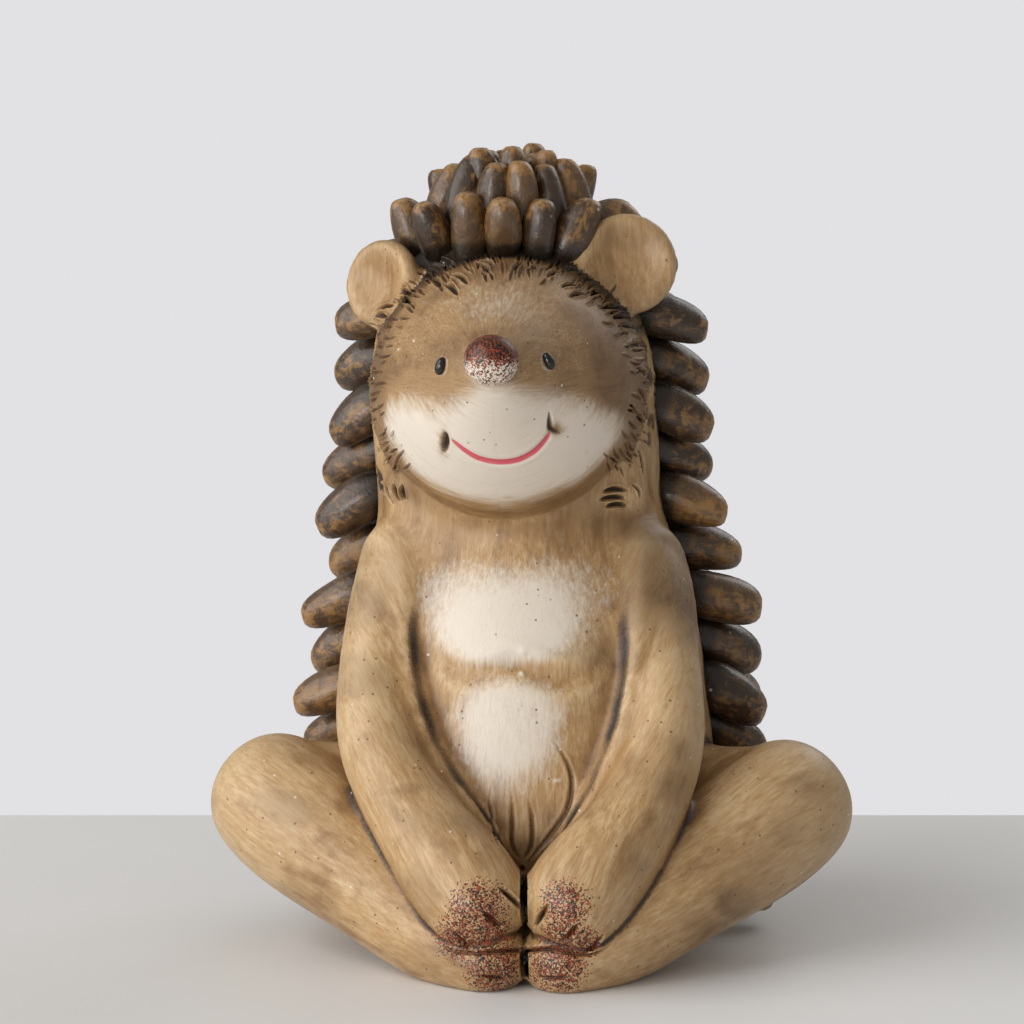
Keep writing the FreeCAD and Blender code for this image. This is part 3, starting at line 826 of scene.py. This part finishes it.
def clay_material():
    """Stained and waxed ochre clay, with brushed white slip, pink mouth and speckled glaze, and with painted
    shade in its hollows, cuts and creases and painted highlight where it stands out.
    """
    s = Shade("brushed_clay")
    place, grain = s.place(), s.value("grain", "Vector")
    streaks = s.noise(grain, 0.8, 6, 0.66, 0.3)
    hairs = s.noise(grain, 0.28, 3, 0.6)
    wide = s.noise(grain, 3.4, 4, 0.55, 0.6)
    clouds = s.noise(place, 8.0, 4, 0.6, 0.5)
    fine = s.noise(place, 0.45, 4, 0.7)
    raised, white, dark = s.value("raised"), s.value("white"), s.value("dark")
    # The clay: paler in the streaks and where it stands out (rubbed, and painted highlight), browner in wide
    # clouds and in hollows (stain and painted shade)
    pale = s.total((streaks, 0.75), (hairs, 0.35), (raised, 0.3))
    colour = s.mix(s.step(pale, 0.4, 0.8), OCHRE, PALE_CLAY)
    brown = s.step(s.total(wide, clouds, (raised, -0.35)), 0.9, 1.4)
    colour = s.mix(s.times(brown, 0.8), colour, STAIN)
    # Stain, which carries painted shade too, wiped off in streaks, and fine hairs drawn with it
    wiped = s.step(s.total((streaks, 0.5), (hairs, 0.5), (clouds, 0.6)), 0.6, 1.0, 0.55, 1.0)
    colour = s.mix(s.times(s.value("stain_and_shade"), wiped), colour, DEEP_STAIN_AND_SHADE)
    fur = s.times(s.value("fur"), s.step(hairs, 0.46, 0.6))
    colour = s.mix(s.times(fur, 0.65), colour, STAIN)
    # White slip with a brushed edge
    brushed = s.total(white, s.swing(streaks, 0.9), s.swing(hairs, 0.35), s.swing(clouds, 0.5))
    covered = s.times(s.step(brushed, 0.05, 1.0), s.step(white, 0.0, 0.25))
    colour = s.mix(s.times(covered, 0.95), colour, WHITE_SLIP)
    # Stain and painted shade in the cuts, creases and hollows, and painted shade among the spines, in two
    # depths
    edge = s.total(dark, s.swing(fine, 0.6))
    seen = s.step(dark, 0.03, 0.15)
    for low, high, share, tone in ((0.1, 0.5, 0.75, DEEP_STAIN_AND_SHADE), (0.42, 0.85, 0.95, CREVICE)):
        colour = s.mix(s.times(s.times(s.step(edge, low, high), seen), share), colour, tone)
    # Pin holes, chips of slip, specks of glaze and the mouth
    holes = s.spots(place, 2.3, (0.07, 0.13), (0.42, 0.48), 0)
    colour = s.mix(s.times(holes, 0.7), colour, DEEP_STAIN_AND_SHADE)
    chips = s.spots(place, 3.7, (0.045, 0.085), (0.6, 0.65), 1)
    colour = s.mix(s.times(chips, 0.85), colour, WHITE_SLIP)
    colour = speckled(s, colour, place, s.value("speckle"))
    colour = s.mix(s.times(s.value("pink"), s.step(hairs, 0.2, 0.45, 0.7, 1.0)), colour, PINK)
    relief = s.total((streaks, 0.5), (hairs, 0.35), (fine, 0.3), (holes, -0.8))
    rough = s.step(s.total(clouds, streaks), 0.7, 1.25, 0.33, 0.5)
    return s.finish(colour, rough, s.bump(relief, 0.4, 0.25),
                    Specular_IOR_Level=0.5, Coat_Weight=0.12, Coat_Roughness=0.35)


def speckled(s, colour, place, amount):
    """Sprinkles rust and black specks of glaze over a colour, the denser the larger the amount."""
    rust_random = s.cells(place, 0.27)[1]
    rust = s.calc("LESS_THAN", s.channel(rust_random, 0), s.times(amount, 0.62))
    colour = s.mix(rust, colour, s.mix(s.channel(rust_random, 1), RUST, DEEP_STAIN_AND_SHADE))
    moved = s.node("ShaderNodeVectorMath", {0: place, 1: (3.1, 7.7, 1.3)}).outputs[0]
    black = s.calc("LESS_THAN", s.channel(s.cells(moved, 0.25)[1], 2), s.times(amount, 0.33))
    return s.mix(black, colour, SPECK_BLACK)


def spine_material():
    """Dark glaze that thinned to amber on the edges and tips."""
    s = Shade("spine_glaze")
    place, grain = s.place(), s.value("grain", "Vector")
    tone, edge = s.value("tone"), s.value("edge")
    clouds = s.noise(place, 2.4, 5, 0.62, 0.8)
    streaks = s.noise(grain, 0.7, 5, 0.62)
    colour = s.mix(s.step(s.total(clouds, (tone, 0.6)), 0.5, 1.15), SPINE_DARK, SPINE_BROWN)
    worn = s.total((edge, 0.5), s.swing(streaks, 0.9), s.swing(clouds, 1.5), (tone, 0.2))
    colour = s.mix(s.times(s.step(worn, 0.24, 0.7), 0.85), colour, SPINE_AMBER)
    rim = s.step(s.total(edge, s.swing(streaks, 0.9)), 0.9, 1.12)
    colour = s.mix(s.times(rim, 0.55), colour, SPINE_RIM)
    # Painted shade at the root of each spine, where it goes into the clay
    root = s.total(s.value("dark"), s.swing(clouds, 0.7))
    colour = s.mix(s.times(s.step(root, 0.2, 0.85), 0.92), colour, CREVICE)
    chips = s.spots(place, 4.2, (0.04, 0.1), (0.78, 0.82), 0)
    colour = s.mix(s.times(chips, 0.8), colour, WHITE_SLIP)
    rough = s.step(streaks, 0.35, 0.7, 0.24, 0.42)
    return s.finish(colour, rough, s.bump(s.total((clouds, 0.8), (streaks, 0.25)), 0.6, 0.5),
                    Specular_IOR_Level=0.5, Coat_Weight=0.25, Coat_Roughness=0.2)


def nose_material():
    """Speckled glaze, dense on top and thin below."""
    s = Shade("speckled_glaze")
    place, top = s.place(), s.value("top")
    clouds = s.noise(place, 1.4, 4, 0.6)
    colour = s.mix(s.times(s.step(clouds, 0.45, 0.75), 0.5), WHITE_SLIP, PALE_CLAY)
    colour = s.mix(s.times(top, 0.9), colour, NOSE_RED)
    colour = speckled(s, colour, place, s.step(top, -0.1, 1.0, 0.4, 1.6))
    return s.finish(colour, 0.38, s.bump(clouds, 0.4, 0.3), Specular_IOR_Level=0.5)


def eye_material():
    """Black glass-like glaze with a breath of dust."""
    s = Shade("black_glaze")
    dust = s.noise(s.place(), 0.6, 4, 0.6)
    colour = s.mix(s.step(dust, 0.5, 0.8), EYE_BLACK, EYE_DUST)
    rough = s.step(dust, 0.4, 0.7, 0.1, 0.28)
    return s.finish(colour, rough, s.bump(dust, 0.15, 0.05), Specular_IOR_Level=0.6)


def set_value(mesh, name, values):
    layer = mesh.attributes.new(name, "FLOAT", "POINT")
    layer.data.foreach_set("value", np.asarray(values, dtype=np.float32))


def set_vector(mesh, name, values):
    layer = mesh.attributes.new(name, "FLOAT_VECTOR", "POINT")
    layer.data.foreach_set("vector", np.asarray(values, dtype=np.float32).ravel())


def islands(name):
    """The places of the corners of each solid of a node: a solid ends where its surface closes."""
    points, tris = node_points(name)
    keys = {}
    same = [keys.setdefault(tuple(np.round(p, 3)), len(keys)) for p in points]
    places = np.array(list(keys))
    groups, corners, open_edges = [], set(), set()
    for a, b, c in tris:
        a, b, c = same[a], same[b], same[c]
        if len({a, b, c}) < 3:
            continue
        corners.update((a, b, c))
        for first, second in ((a, b), (b, c), (c, a)):
            if (second, first) in open_edges:
                open_edges.remove((second, first))
            else:
                open_edges.add((first, second))
        if not open_edges:
            groups.append(places[sorted(corners)])
            corners = set()
    return groups


def pellet_frame(corners):
    """Middle, direction, upper side, ends, width and height of one spine."""
    centre = corners.mean(0)
    _, _, axes = np.linalg.svd(corners - centre)
    way = axes[0]
    outward = centre - np.array((CORE_X, CORE_Y, min(centre[2], SKULL_CENTRE)))
    if way @ outward < 0:
        way = -way
    along = (corners - centre) @ way
    side = np.cross(way, (0, 0, 1.0))
    if np.linalg.norm(side) < 0.1:
        side = np.array((1.0, 0, 0))
    side /= np.linalg.norm(side)
    rise = np.cross(side, way)
    across, up = (corners - centre) @ side, (corners - centre) @ rise
    middle = centre + side * ((across.max() + across.min()) / 2) + rise * ((up.max() + up.min()) / 2)
    return middle, way, rise, along.min(), along.max(), np.ptp(across), np.ptp(up)


def gather(point):
    """Where a place of the spines comes to lie: the crown closes in, and the sides of the head too."""
    x, y, z = point
    share = 1 - CROWN_SQUEEZE * smooth_step(CROWN_LOW, CROWN_HIGH, z)
    squeeze = SIDE_SQUEEZE if x < CORE_X else SIDE_SQUEEZE / 4
    squeeze *= smooth_step(SIDE_LOW, SIDE_LOW + SIDE_FADE_LOW, z)
    share *= 1 - squeeze * (1 - smooth_step(SIDE_HIGH - SIDE_FADE_HIGH, SIDE_HIGH, z))
    return np.array((CORE_X + (x - CORE_X) * share, CORE_Y + (y - CORE_Y) * share, z))


def pellet_mesh(corners, rng):
    """One plump spine of clay in the place of a faceted one: points, quads, edge shares, painted shade at the
    root.
    """
    middle, way, rise, low, high, width, height = pellet_frame(corners)
    root, tip = gather(middle + way * (low - ROOT_DEPTH)), gather(middle + way * high)
    length = np.linalg.norm(tip - root)
    way = (tip - root) / length
    side = np.cross(way, rise)
    side /= np.linalg.norm(side)
    rise = np.cross(side, way)
    if rise[2] < 0:
        rise, side = -rise, -side
    fat = rng.uniform(*PELLET_FATNESS) * (1 - 0.22 * smooth_step(CROWN_LOW, CROWN_HIGH, middle[2]))
    crown = smooth_step(CROWN_LOW - CROWN_FADE, CROWN_LOW, middle[2])
    lean = rng.uniform(-PELLET_LEAN, PELLET_LEAN) * (1 + 1.6 * crown)
    lumps = [(rng.normal(size=2), rng.uniform(0, 6.3)) for _ in range(4)]
    points, shares, roots = [], [], []
    for ring in range(PELLET_RINGS + 1):
        phi = math.pi * ring / PELLET_RINGS
        share = 0.5 - 0.5 * math.cos(phi)
        radius = math.sin(phi) ** 0.6 * (1.04 - 0.16 * share)
        for k in range(1 if ring in (0, PELLET_RINGS) else PELLET_SIDES):
            turn = 2 * math.pi * k / PELLET_SIDES
            bump = sum(
                0.025 * math.sin(w[0] * 2.2 * math.cos(turn) + w[1] * 2.2 * math.sin(turn) + 5 * share + p)
                for w, p in lumps)
            wide = width / 2 * PELLET_WIDTH_SHARE * radius * fat * (1 + bump)
            tall = height / 2 * PELLET_HEIGHT_SHARE * radius * fat * (1 + bump)
            drop = SPINE_BEND * share ** 2 * length
            points.append(root + way * share * length + side * (wide * math.cos(turn) + lean * share ** 2)
                          + rise * (tall * math.sin(turn) - drop))
            shares.append(max(smooth_step(0.78, 1.0, share), 0.7 * abs(math.cos(turn)) ** 3))
            roots.append(1 - smooth_step(0.2, 0.55, share))
    return points, pellet_faces(len(points) - 1), shares, roots, way


def pellet_faces(last):
    """Faces of a spine: a fan at each end and rings of quads between."""
    faces = []
    for ring in range(PELLET_RINGS):
        lower = 1 + (ring - 1) * PELLET_SIDES
        upper = lower + PELLET_SIDES
        for k in range(PELLET_SIDES):
            n = (k + 1) % PELLET_SIDES
            if ring == 0:
                faces.append((0, 1 + n, 1 + k))
            elif ring == PELLET_RINGS - 1:
                faces.append((lower + k, lower + n, last))
            else:
                faces.append((lower + k, lower + n, upper + n, upper + k))
    return faces


def make_spine_row(name, material, seed):
    """All spines of one row as one object in the place of the row's node, which is hidden."""
    rng = np.random.default_rng(seed)
    points, faces, edges, roots, tones, grain = [], [], [], [], [], []
    for corners in islands(name):
        p, f, e, r, way = pellet_mesh(corners, rng)
        start = len(points)
        points += p
        faces += [tuple(start + v for v in face) for face in f]
        edges += e
        roots += r
        tones += [rng.uniform(0, 1)] * len(p)
        for q in p:
            grain.append(q - way * (q @ way) * 0.75)
    obj = mesh_object(name + "_glazed", points, faces)
    smooth_faces(obj.data)
    for layer, values in (("edge", edges), ("dark", roots), ("tone", tones)):
        set_value(obj.data, layer, values)
    set_vector(obj.data, "grain", grain)
    obj.data.materials.append(material)
    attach(obj, "root")
    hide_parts(name)
    return np.array(points)


class Paint:
    """Values on the skin that say where the slip, the stain, the painted shade and the specks lie."""

    def __init__(self, skin, labels):
        self.skin = skin
        self.px, self.py = picture_places(skin.points)
        self.front = smooth_step(0.05, 0.35, -skin.normals[:, 1])
        self.rough = wobble(skin.points, 5.0, 3)
        self.face, self.ears, self.torso = [
            np.isin(labels, [CLAY_NODES.index(name) for name in names])
            for names in (("face", "face_fringe"), EARS, ("torso_shell",))]
        self.side = np.hypot(*self.within(*FACE_MIDDLE, *FACE_RADII))
        self.smudge = np.maximum.reduce([self.face * self.spot(*place) for place in SMUDGES])
        self.raised = np.clip(skin.breadth(36) / 0.9, -1.2, 1.0) * (1 - 0.8 * self.ears)

    def within(self, x, y, half, tall):
        """How far across and down from a place of the picture each point lies, as shares of a size."""
        return (self.px - x) / half, (self.py - y) / tall

    def spot(self, *place):
        """1 at a place of the picture, fading away from it."""
        across, down = self.within(*place)
        return np.exp(-across ** 2 - down ** 2)

    def face_slip(self):
        """The white of the face: it starts under a wavy brow, and ends at the fur and the chin."""
        peak, half, height = NOSE_PEAK
        brow = FACE_WHITE_TOP + 8 * self.rough + FACE_WHITE_SAG * (self.px - FACE_WHITE_MIDDLE) ** 2
        brow = brow - height * np.exp(-((self.px - peak) / half) ** 2)
        white = smooth_step(-FACE_WHITE_SOFT, FACE_WHITE_SOFT, self.py - brow) * self.face
        white *= 1 - smooth_step(*FACE_WHITE_END, self.py + 5 * self.rough)
        white *= 1 - smooth_step(0.82, 1.03, self.side + 0.04 * self.rough)
        return np.maximum(white, 0.35 * self.face * self.spot(*FOREHEAD_PATCH))

    def body_slip(self):
        """The white patches of the chest and the belly."""
        rough = self.rough
        x, y = self.within(*CHEST_PATCH)
        away = (np.abs(x + 0.1 * rough) ** 2.5 + np.abs(y + 0.12 * rough + 0.1 * x) ** 2.5) ** 0.4
        soft = 0.28 + 0.3 * smooth_step(0.3, -0.6, y) + 0.2 * smooth_step(0.2, 0.9, x)
        chest = 1 - smooth_step(-1, 1, (away - 0.96) / soft)
        x, y = self.within(*BELLY_PATCH)
        narrow = 1.0 + 0.35 * smooth_step(-0.5, 1.0, y)
        away = (np.abs(x * narrow + 0.12 * rough) ** 2.3 + np.abs(y + 0.1 * rough) ** 2.3) ** 0.43
        belly = 1 - smooth_step(-1, 1, (away - 0.88) / (0.36 + 0.25 * smooth_step(0.0, 1.0, y)))
        return np.maximum(chest, 0.85 * belly) * self.torso * self.front

    def white(self):
        """All of the white slip, with rings round the eyes and on the small blobs."""
        white = np.maximum(self.face_slip(), self.body_slip())
        for node in ("left_eye", "right_eye"):
            away = np.linalg.norm(self.skin.points - node_middle(node), axis=1)
            white = np.maximum(white, 0.5 * self.face * np.exp(-((away - 1.6) / 0.3) ** 2))
        for x, y in WHITE_BEADS:
            bead = np.exp(-((self.px - x) ** 2 + (self.py - y) ** 2) / BEAD_PAINT)
            white = np.maximum(white, 1.2 * bead * self.front)
        return white * (1 - 0.9 * self.smudge)

    def stain_and_shade(self, white):
        """Brown stain on the brow, round the edge of the face and in patches; stain and painted shade on the
        temple, the right shoulder and in the hollows; painted shade on the sides that face right.
        """
        px, py, face = self.px, self.py, self.face
        stain_and_shade = 0.3 * face * (1 - smooth_step(*BROW_STAIN, py))
        # Stain and painted shade on the temple at the right, which is turned away from the light
        temple = smooth_step(*TEMPLE_STAIN_SHADE_ACROSS, px) * (1 - smooth_step(*TEMPLE_STAIN_SHADE_DOWN, py))
        stain_and_shade += 0.75 * temple * face
        stain_and_shade += 0.35 * smooth_step(0.84, 1.0, self.side) * face
        # Stain and painted shade in the hollows, where the surface lies below its surroundings
        stain_and_shade += 0.75 * np.clip(-self.raised - 0.15, 0, 1) * (1 - 0.7 * self.ears)
        # Stain and painted shade on the right shoulder, away from the light
        shoulder = smooth_step(*SHOULDER_STAIN_SHADE_ACROSS, px) * smooth_step(*SHOULDER_STAIN_SHADE_TOP, py)
        stain_and_shade += 0.5 * shoulder * (1 - smooth_step(*SHOULDER_STAIN_SHADE_END, py))
        stain_and_shade += 0.25 * np.clip(self.rough - 0.2, 0, 1) + 0.7 * self.smudge
        # Painted shade on the sides that face right, away from the light, low on the right of the figure
        turned = smooth_step(0.0, 0.7, self.skin.normals[:, 0])
        stain_and_shade += 0.25 * turned * smooth_step(*RIGHT_SHADE_ACROSS, px) * smooth_step(*RIGHT_SHADE_DOWN, py)
        stain_and_shade += 0.3 * smooth_step(0.25, 0.8, wobble(self.skin.points, 3.0, 29))
        return np.clip(stain_and_shade, 0, 0.95) * (1 - 0.75 * np.clip(white, 0, 1))

    def dark(self, marks, spine_points):
        """Stain and painted shade in the cuts, creases and hollows, and painted shade in the clay among the
        spines and on the back of the crown.
        """
        skin, (_, y, z) = self.skin, self.skin.points.T
        # Painted shade: the clay near a spine, and on the crown behind the face, gets dark
        tree = point_tree(spine_points)
        behind = np.where(~self.ears & ((y > SPINES_FRONT) & (z > SPINES_LOW) | (z > SPINES_HIGH)))[0]
        away = np.array([tree.find(skin.points[i])[2] for i in behind])
        near = np.zeros(len(skin.points))
        near[behind] = 1 - smooth_step(*SPINE_SHADE_REACH, away)
        crown = smooth_step(*CROWN_SHADE_BACK, y) * smooth_step(*CROWN_SHADE_UP, z) * ~self.ears
        dark = np.maximum(marks, 0.8 * np.maximum(near, crown))
        # Stain and painted shade in the hollows, where the surface lies below its neighbours
        hollow = skin.blur(np.clip(skin.hollowness(), 0, None), 3)
        return np.maximum(dark, 0.7 * smooth_step(0.02, 0.09, hollow) * (1 - 0.6 * self.ears))

    def specks(self):
        """Where specks of glaze were sprinkled on the hands and feet."""
        specks = np.zeros(len(self.px))
        for x, y, reach in HAND_SPECKS:
            away = np.hypot(self.px - x, self.py - y) / reach
            ring = (1 - smooth_step(0.45, 1.5, away)) * self.front
            specks = np.maximum(specks, ring * (self.skin.points[:, 1] < HAND_BACK))
        return specks

    def apply(self, marks, spine_points):
        white = self.white()
        values = {
            "fur": (self.face + 0.4 * self.ears) * (1 - np.clip(white, 0, 1)),
            "white": white, "raised": self.raised, "stain_and_shade": self.stain_and_shade(white),
            "dark": self.dark(marks, spine_points), "speckle": self.specks(),
        }
        for name, value in values.items():
            set_value(self.skin.obj.data, name, value)


def point_tree(points):
    tree = KDTree(len(points))
    for number, point in enumerate(points):
        tree.insert(point, number)
    tree.balance()
    return tree


def comb(skin, labels):
    """Coordinates for brushed streaks: squeezed along the way that the brush went on each piece."""
    grain = skin.points * np.array((1, 1, 0.14))
    for number, name in enumerate(CLAY_NODES):
        pick = labels == number
        p = skin.points[pick]
        if name in ARMS + LEGS:
            _, _, axes = np.linalg.svd(p[::9] - p.mean(0), full_matrices=False)
            grain[pick] = p - 0.86 * (p @ axes[0])[:, None] * axes[0]
        elif name in ("face", "face_fringe"):
            p = p - node_middle("nose")
            radius, turn = np.hypot(p[:, 0], p[:, 2]), np.arctan2(p[:, 0], p[:, 2])
            lower = smooth_step(2.0, 8.0, -p[:, 2])[:, None]
            spokes = np.stack((radius * 0.22, turn * 14.0, p[:, 1] * 0.5), axis=1)
            hoops = np.stack((radius, turn * 2.2, p[:, 1] * 0.5), axis=1)
            grain[pick] = spokes * (1 - lower) + hoops * lower
    set_vector(skin.obj.data, "grain", grain)


def make_stage():
    """A pale table whose far edge shows behind the figure."""
    s = Shade("pale_table")
    cloud = s.noise(s.place(), 160.0, 3, 0.5)
    colour = s.mix(s.step(cloud, 0.3, 0.7), *TABLE_SHADES)
    s.finish(colour, 0.45, s.bump(s.noise(s.place(), 4.0), 0.05, 0.1), Specular_IOR_Level=0.3)
    turn = Matrix.Rotation(math.radians(CAMERA_AZIMUTH), 3, "Z")
    corners = [
        turn @ Vector((x, y, z)) for x in (-TABLE_HALF_WIDTH, TABLE_HALF_WIDTH)
        for y in (-TABLE_FRONT, TABLE_EDGE) for z in (-TABLE_THICKNESS, 0)]
    faces = ((0, 1, 3, 2), (4, 6, 7, 5), (0, 4, 5, 1), (2, 3, 7, 6), (0, 2, 6, 4), (1, 5, 7, 3))
    table = mesh_object("table", corners, faces)
    bevel = table.modifiers.new("edge", "BEVEL")
    bevel.width = TABLE_BEVEL * MM
    bevel.segments = 3
    table.data.materials.append(s.material)


def area_light(name, place, aim, size, power, colour):
    data = bpy.data.lights.new(name, "AREA")
    data.shape = "SQUARE"
    data.size = size
    data.energy = power
    data.color = colour
    lamp = bpy.data.objects.new(name, data)
    lamp.location = place
    lamp.rotation_euler = (Vector(aim) - Vector(place)).to_track_quat("-Z", "Y").to_euler()
    link(lamp)


def make_light():
    """Soft light from the upper left, and a pale wall that only the camera sees."""
    for name, lamp in LAMPS.items():
        area_light(name, *lamp)
    world = bpy.data.worlds.new("room")
    bpy.context.scene.world = world
    world.use_nodes = True
    nodes, links = world.node_tree.nodes, world.node_tree.links
    nodes.clear()
    out, mix, light, wall, ray, seen = [nodes.new("ShaderNode" + kind) for kind in (
        "OutputWorld", "MixShader", "Background", "Background", "LightPath", "Math")]
    light.inputs["Color"].default_value = ROOM_LIGHT
    light.inputs["Strength"].default_value = ROOM_STRENGTH
    wall.inputs["Color"].default_value = linear(*WALL)
    seen.operation = "MAXIMUM"
    for source, target in (
        (ray.outputs["Is Camera Ray"], seen.inputs[0]), (ray.outputs["Is Transmission Ray"], seen.inputs[1]),
        (seen.outputs[0], mix.inputs[0]), (light.outputs[0], mix.inputs[1]), (wall.outputs[0], mix.inputs[2]),
        (mix.outputs[0], out.inputs["Surface"]),
    ):
        links.new(source, target)
    bpy.context.scene.view_settings.view_transform = "Standard"


def all_cuts(tree, skin):
    """Every line of the face, belly, hands, feet and fur: its places, and then what its cut is like."""
    kinds = [
        (LEFT_DIMPLE_CUT, [LEFT_DIMPLE]), (RIGHT_DIMPLE_CUT, [RIGHT_DIMPLE]), (NOSE_CUT, [NOSE_CREASE]),
        (CHEST_CUT, [CHEST_FOLD]), (HAND_CUT, [HAND_LINE]), (FOOT_CUT, [FOOT_LINE]),
        (GROOVE_CUT, BELLY_GROOVES), (FINGER_CUT, FINGER_SLITS), (TOE_CUT, TOE_CREASES), (FUR_CUT, FUR_CUTS),
    ]
    for line, strength in fringe_lines():
        kind = STROKE_WIDTH, STROKE_DEPTH * strength, STROKE_LIP, STROKE_DARK * strength, True
        kinds.append((kind, [line]))
    cuts = [(skin.drop(tree, curve(line)), *kind) for kind, lines in kinds for line in lines]
    return [cut for cut in cuts if len(cut[0]) > 1]


def carve_all(skin, cuts, mouth):
    """Draws the cuts in the clay. Returns how dark each place gets."""
    marks = np.zeros(len(skin.points))
    for line, width, depth, lip, dark, leaf in cuts:
        marks = np.maximum(marks, dark * skin.carve(line, width, depth, lip, leaf))
    pink = skin.carve(mouth, MOUTH_WIDTH, MOUTH_DEPTH, MOUTH_LIP)
    tree = skin.tree()
    for pixels in WHITE_BEADS:
        centre = np.array(tree.ray_cast(*picture_ray(*pixels))[0])
        away = np.linalg.norm(skin.points - centre, axis=1)
        skin.points += skin.normals * (BEAD_HEIGHT * np.exp(-(away / BEAD_RADIUS) ** 2))[:, None]
    skin.write()
    set_value(skin.obj.data, "pink", smooth_step(0.3, 0.6, pink))
    return marks


def raise_tufts(skin):
    """Lays a little more clay where the fur ends in a tuft at each lower corner of the face."""
    px, py = picture_places(skin.points)
    front = smooth_step(0.1, 0.5, -skin.normals[:, 1]) * (skin.points[:, 1] < 0)
    for x, y, reach in FUR_TUFTS:
        away = np.hypot(px - x, py - y) / reach
        skin.points += skin.normals * (TUFT_HEIGHT * np.exp(-away ** 2) * front)[:, None]
    skin.write()


def fringe_lines():
    """The fine strokes of the fur round the face, in staggered rings with a gap under the chin."""
    rng = np.random.default_rng(41)
    lines = []
    for ring, (share, count) in enumerate(FRINGE_RINGS):
        for k in range(count):
            turn = 2 * math.pi * (k + 0.5 * (ring % 2) + rng.uniform(-0.3, 0.3)) / count
            low = abs(math.degrees(turn) - 180) < FRINGE_GAP
            if low or rng.uniform() < LEFT_OUT_SHARE:
                continue
            out = share + rng.uniform(-0.025, 0.025)
            x = FACE_MIDDLE[0] + FACE_RADII[0] * out * math.sin(turn)
            y = FACE_MIDDLE[1] - FACE_RADII[1] * out * math.cos(turn)
            lean = turn + FRINGE_SWIRL * math.sin(turn) + rng.uniform(-0.4, 0.4)
            length = rng.uniform(*STROKE_LENGTHS)
            way = (math.sin(lean), -math.cos(lean))
            bow = rng.uniform(-0.15, 0.15) * length
            middle = (x + length * way[0] / 2 - bow * way[1], y + length * way[1] / 2 + bow * way[0])
            end = (x + length * way[0], y + length * way[1])
            lines.append((((x, y), middle, end), rng.uniform(0.5, 1.0)))
    return lines


def make_ball(name, node, material, stretch, tilt=0.0):
    """A finely meshed and slightly dented ball of glaze in the place of a small round node."""
    low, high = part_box(node)
    corners, faces = ball_mesh(BALL_ROUNDS)
    turn = np.array(Matrix.Rotation(math.radians(tilt), 3, "Y"))
    dents = 1 + 0.02 * wobble(corners, 0.4, 11)
    size = max(high - low) / 2 / MM * np.array(stretch)
    points = node_middle(node) + (corners * dents[:, None] * size) @ turn.T
    obj = mesh_object(name, points, faces)
    smooth_faces(obj.data)
    set_value(obj.data, "top", smooth_step(-0.35, 0.5, corners[:, 2]))
    obj.data.materials.append(material)
    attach(obj, "root")
    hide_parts(node)


def in_face_or_hands(places):
    """Where the mesh is made finer: the face and the hands and feet."""
    _, y, z = places.T
    return ((z > FACE_LOW) & (y < FACE_BACK)) | ((y < HAND_BACK) & (z < HAND_HIGH))


def near_cuts(places, cut_tree, reach):
    """Which places lie close to a cut."""
    near = in_face_or_hands(places) | ((places[:, 1] < CUTS_BACK) & (places[:, 2] > CUTS_LOW))
    near[near] = [cut_tree.find(place)[2] < reach for place in places[near]]
    return near


def model_clay():
    """The clay body with its joints smeared over and its lines carved: skin, nodes and dark marks."""
    skin = Skin(join_clay())
    smear_joints(skin, label_points(skin.points))
    raise_tufts(skin)
    refine(skin.obj, in_face_or_hands)
    skin.read()
    skin.relax(np.full(len(skin.points), 0.4), 3)
    labels = label_points(skin.points)
    creases = press_creases(skin, labels)
    tree = skin.tree()
    cuts = all_cuts(tree, skin)
    mouth = skin.drop(tree, curve(MOUTH))
    cut_tree = point_tree(np.vstack([cut[0] for cut in cuts] + [mouth]))
    for reach in CUT_REACHES:
        refine(skin.obj, lambda places: near_cuts(places, cut_tree, reach))
    before = point_tree(skin.points)
    skin.read()
    skin.relax(np.full(len(skin.points), 0.35), 2)
    nearest = np.array([before.find(place)[1] for place in skin.points])
    marks = np.maximum(skin.blur(creases[nearest], 2), carve_all(skin, cuts, mouth))
    return skin, labels[nearest], marks


look_at_camera()
skin, labels, marks = model_clay()
glaze = spine_material()
rows = [name for name in sorted(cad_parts) if "_spines_" in name]
spine_points = np.vstack([make_spine_row(name, glaze, SPINE_SEED + k) for k, name in enumerate(rows)])
Paint(skin, labels).apply(marks, spine_points)
comb(skin, labels)
smooth_faces(skin.obj.data)
skin.obj.data.materials.append(clay_material())
part_skin(skin, labels)
make_ball("nose_glazed", "nose", nose_material(), NOSE_STRETCH)
black = eye_material()
make_ball("left_eye_glazed", "left_eye", black, EYE_STRETCH, LEFT_EYE_TILT)
make_ball("right_eye_glazed", "right_eye", black, EYE_STRETCH, RIGHT_EYE_TILT)
make_stage()
make_light()
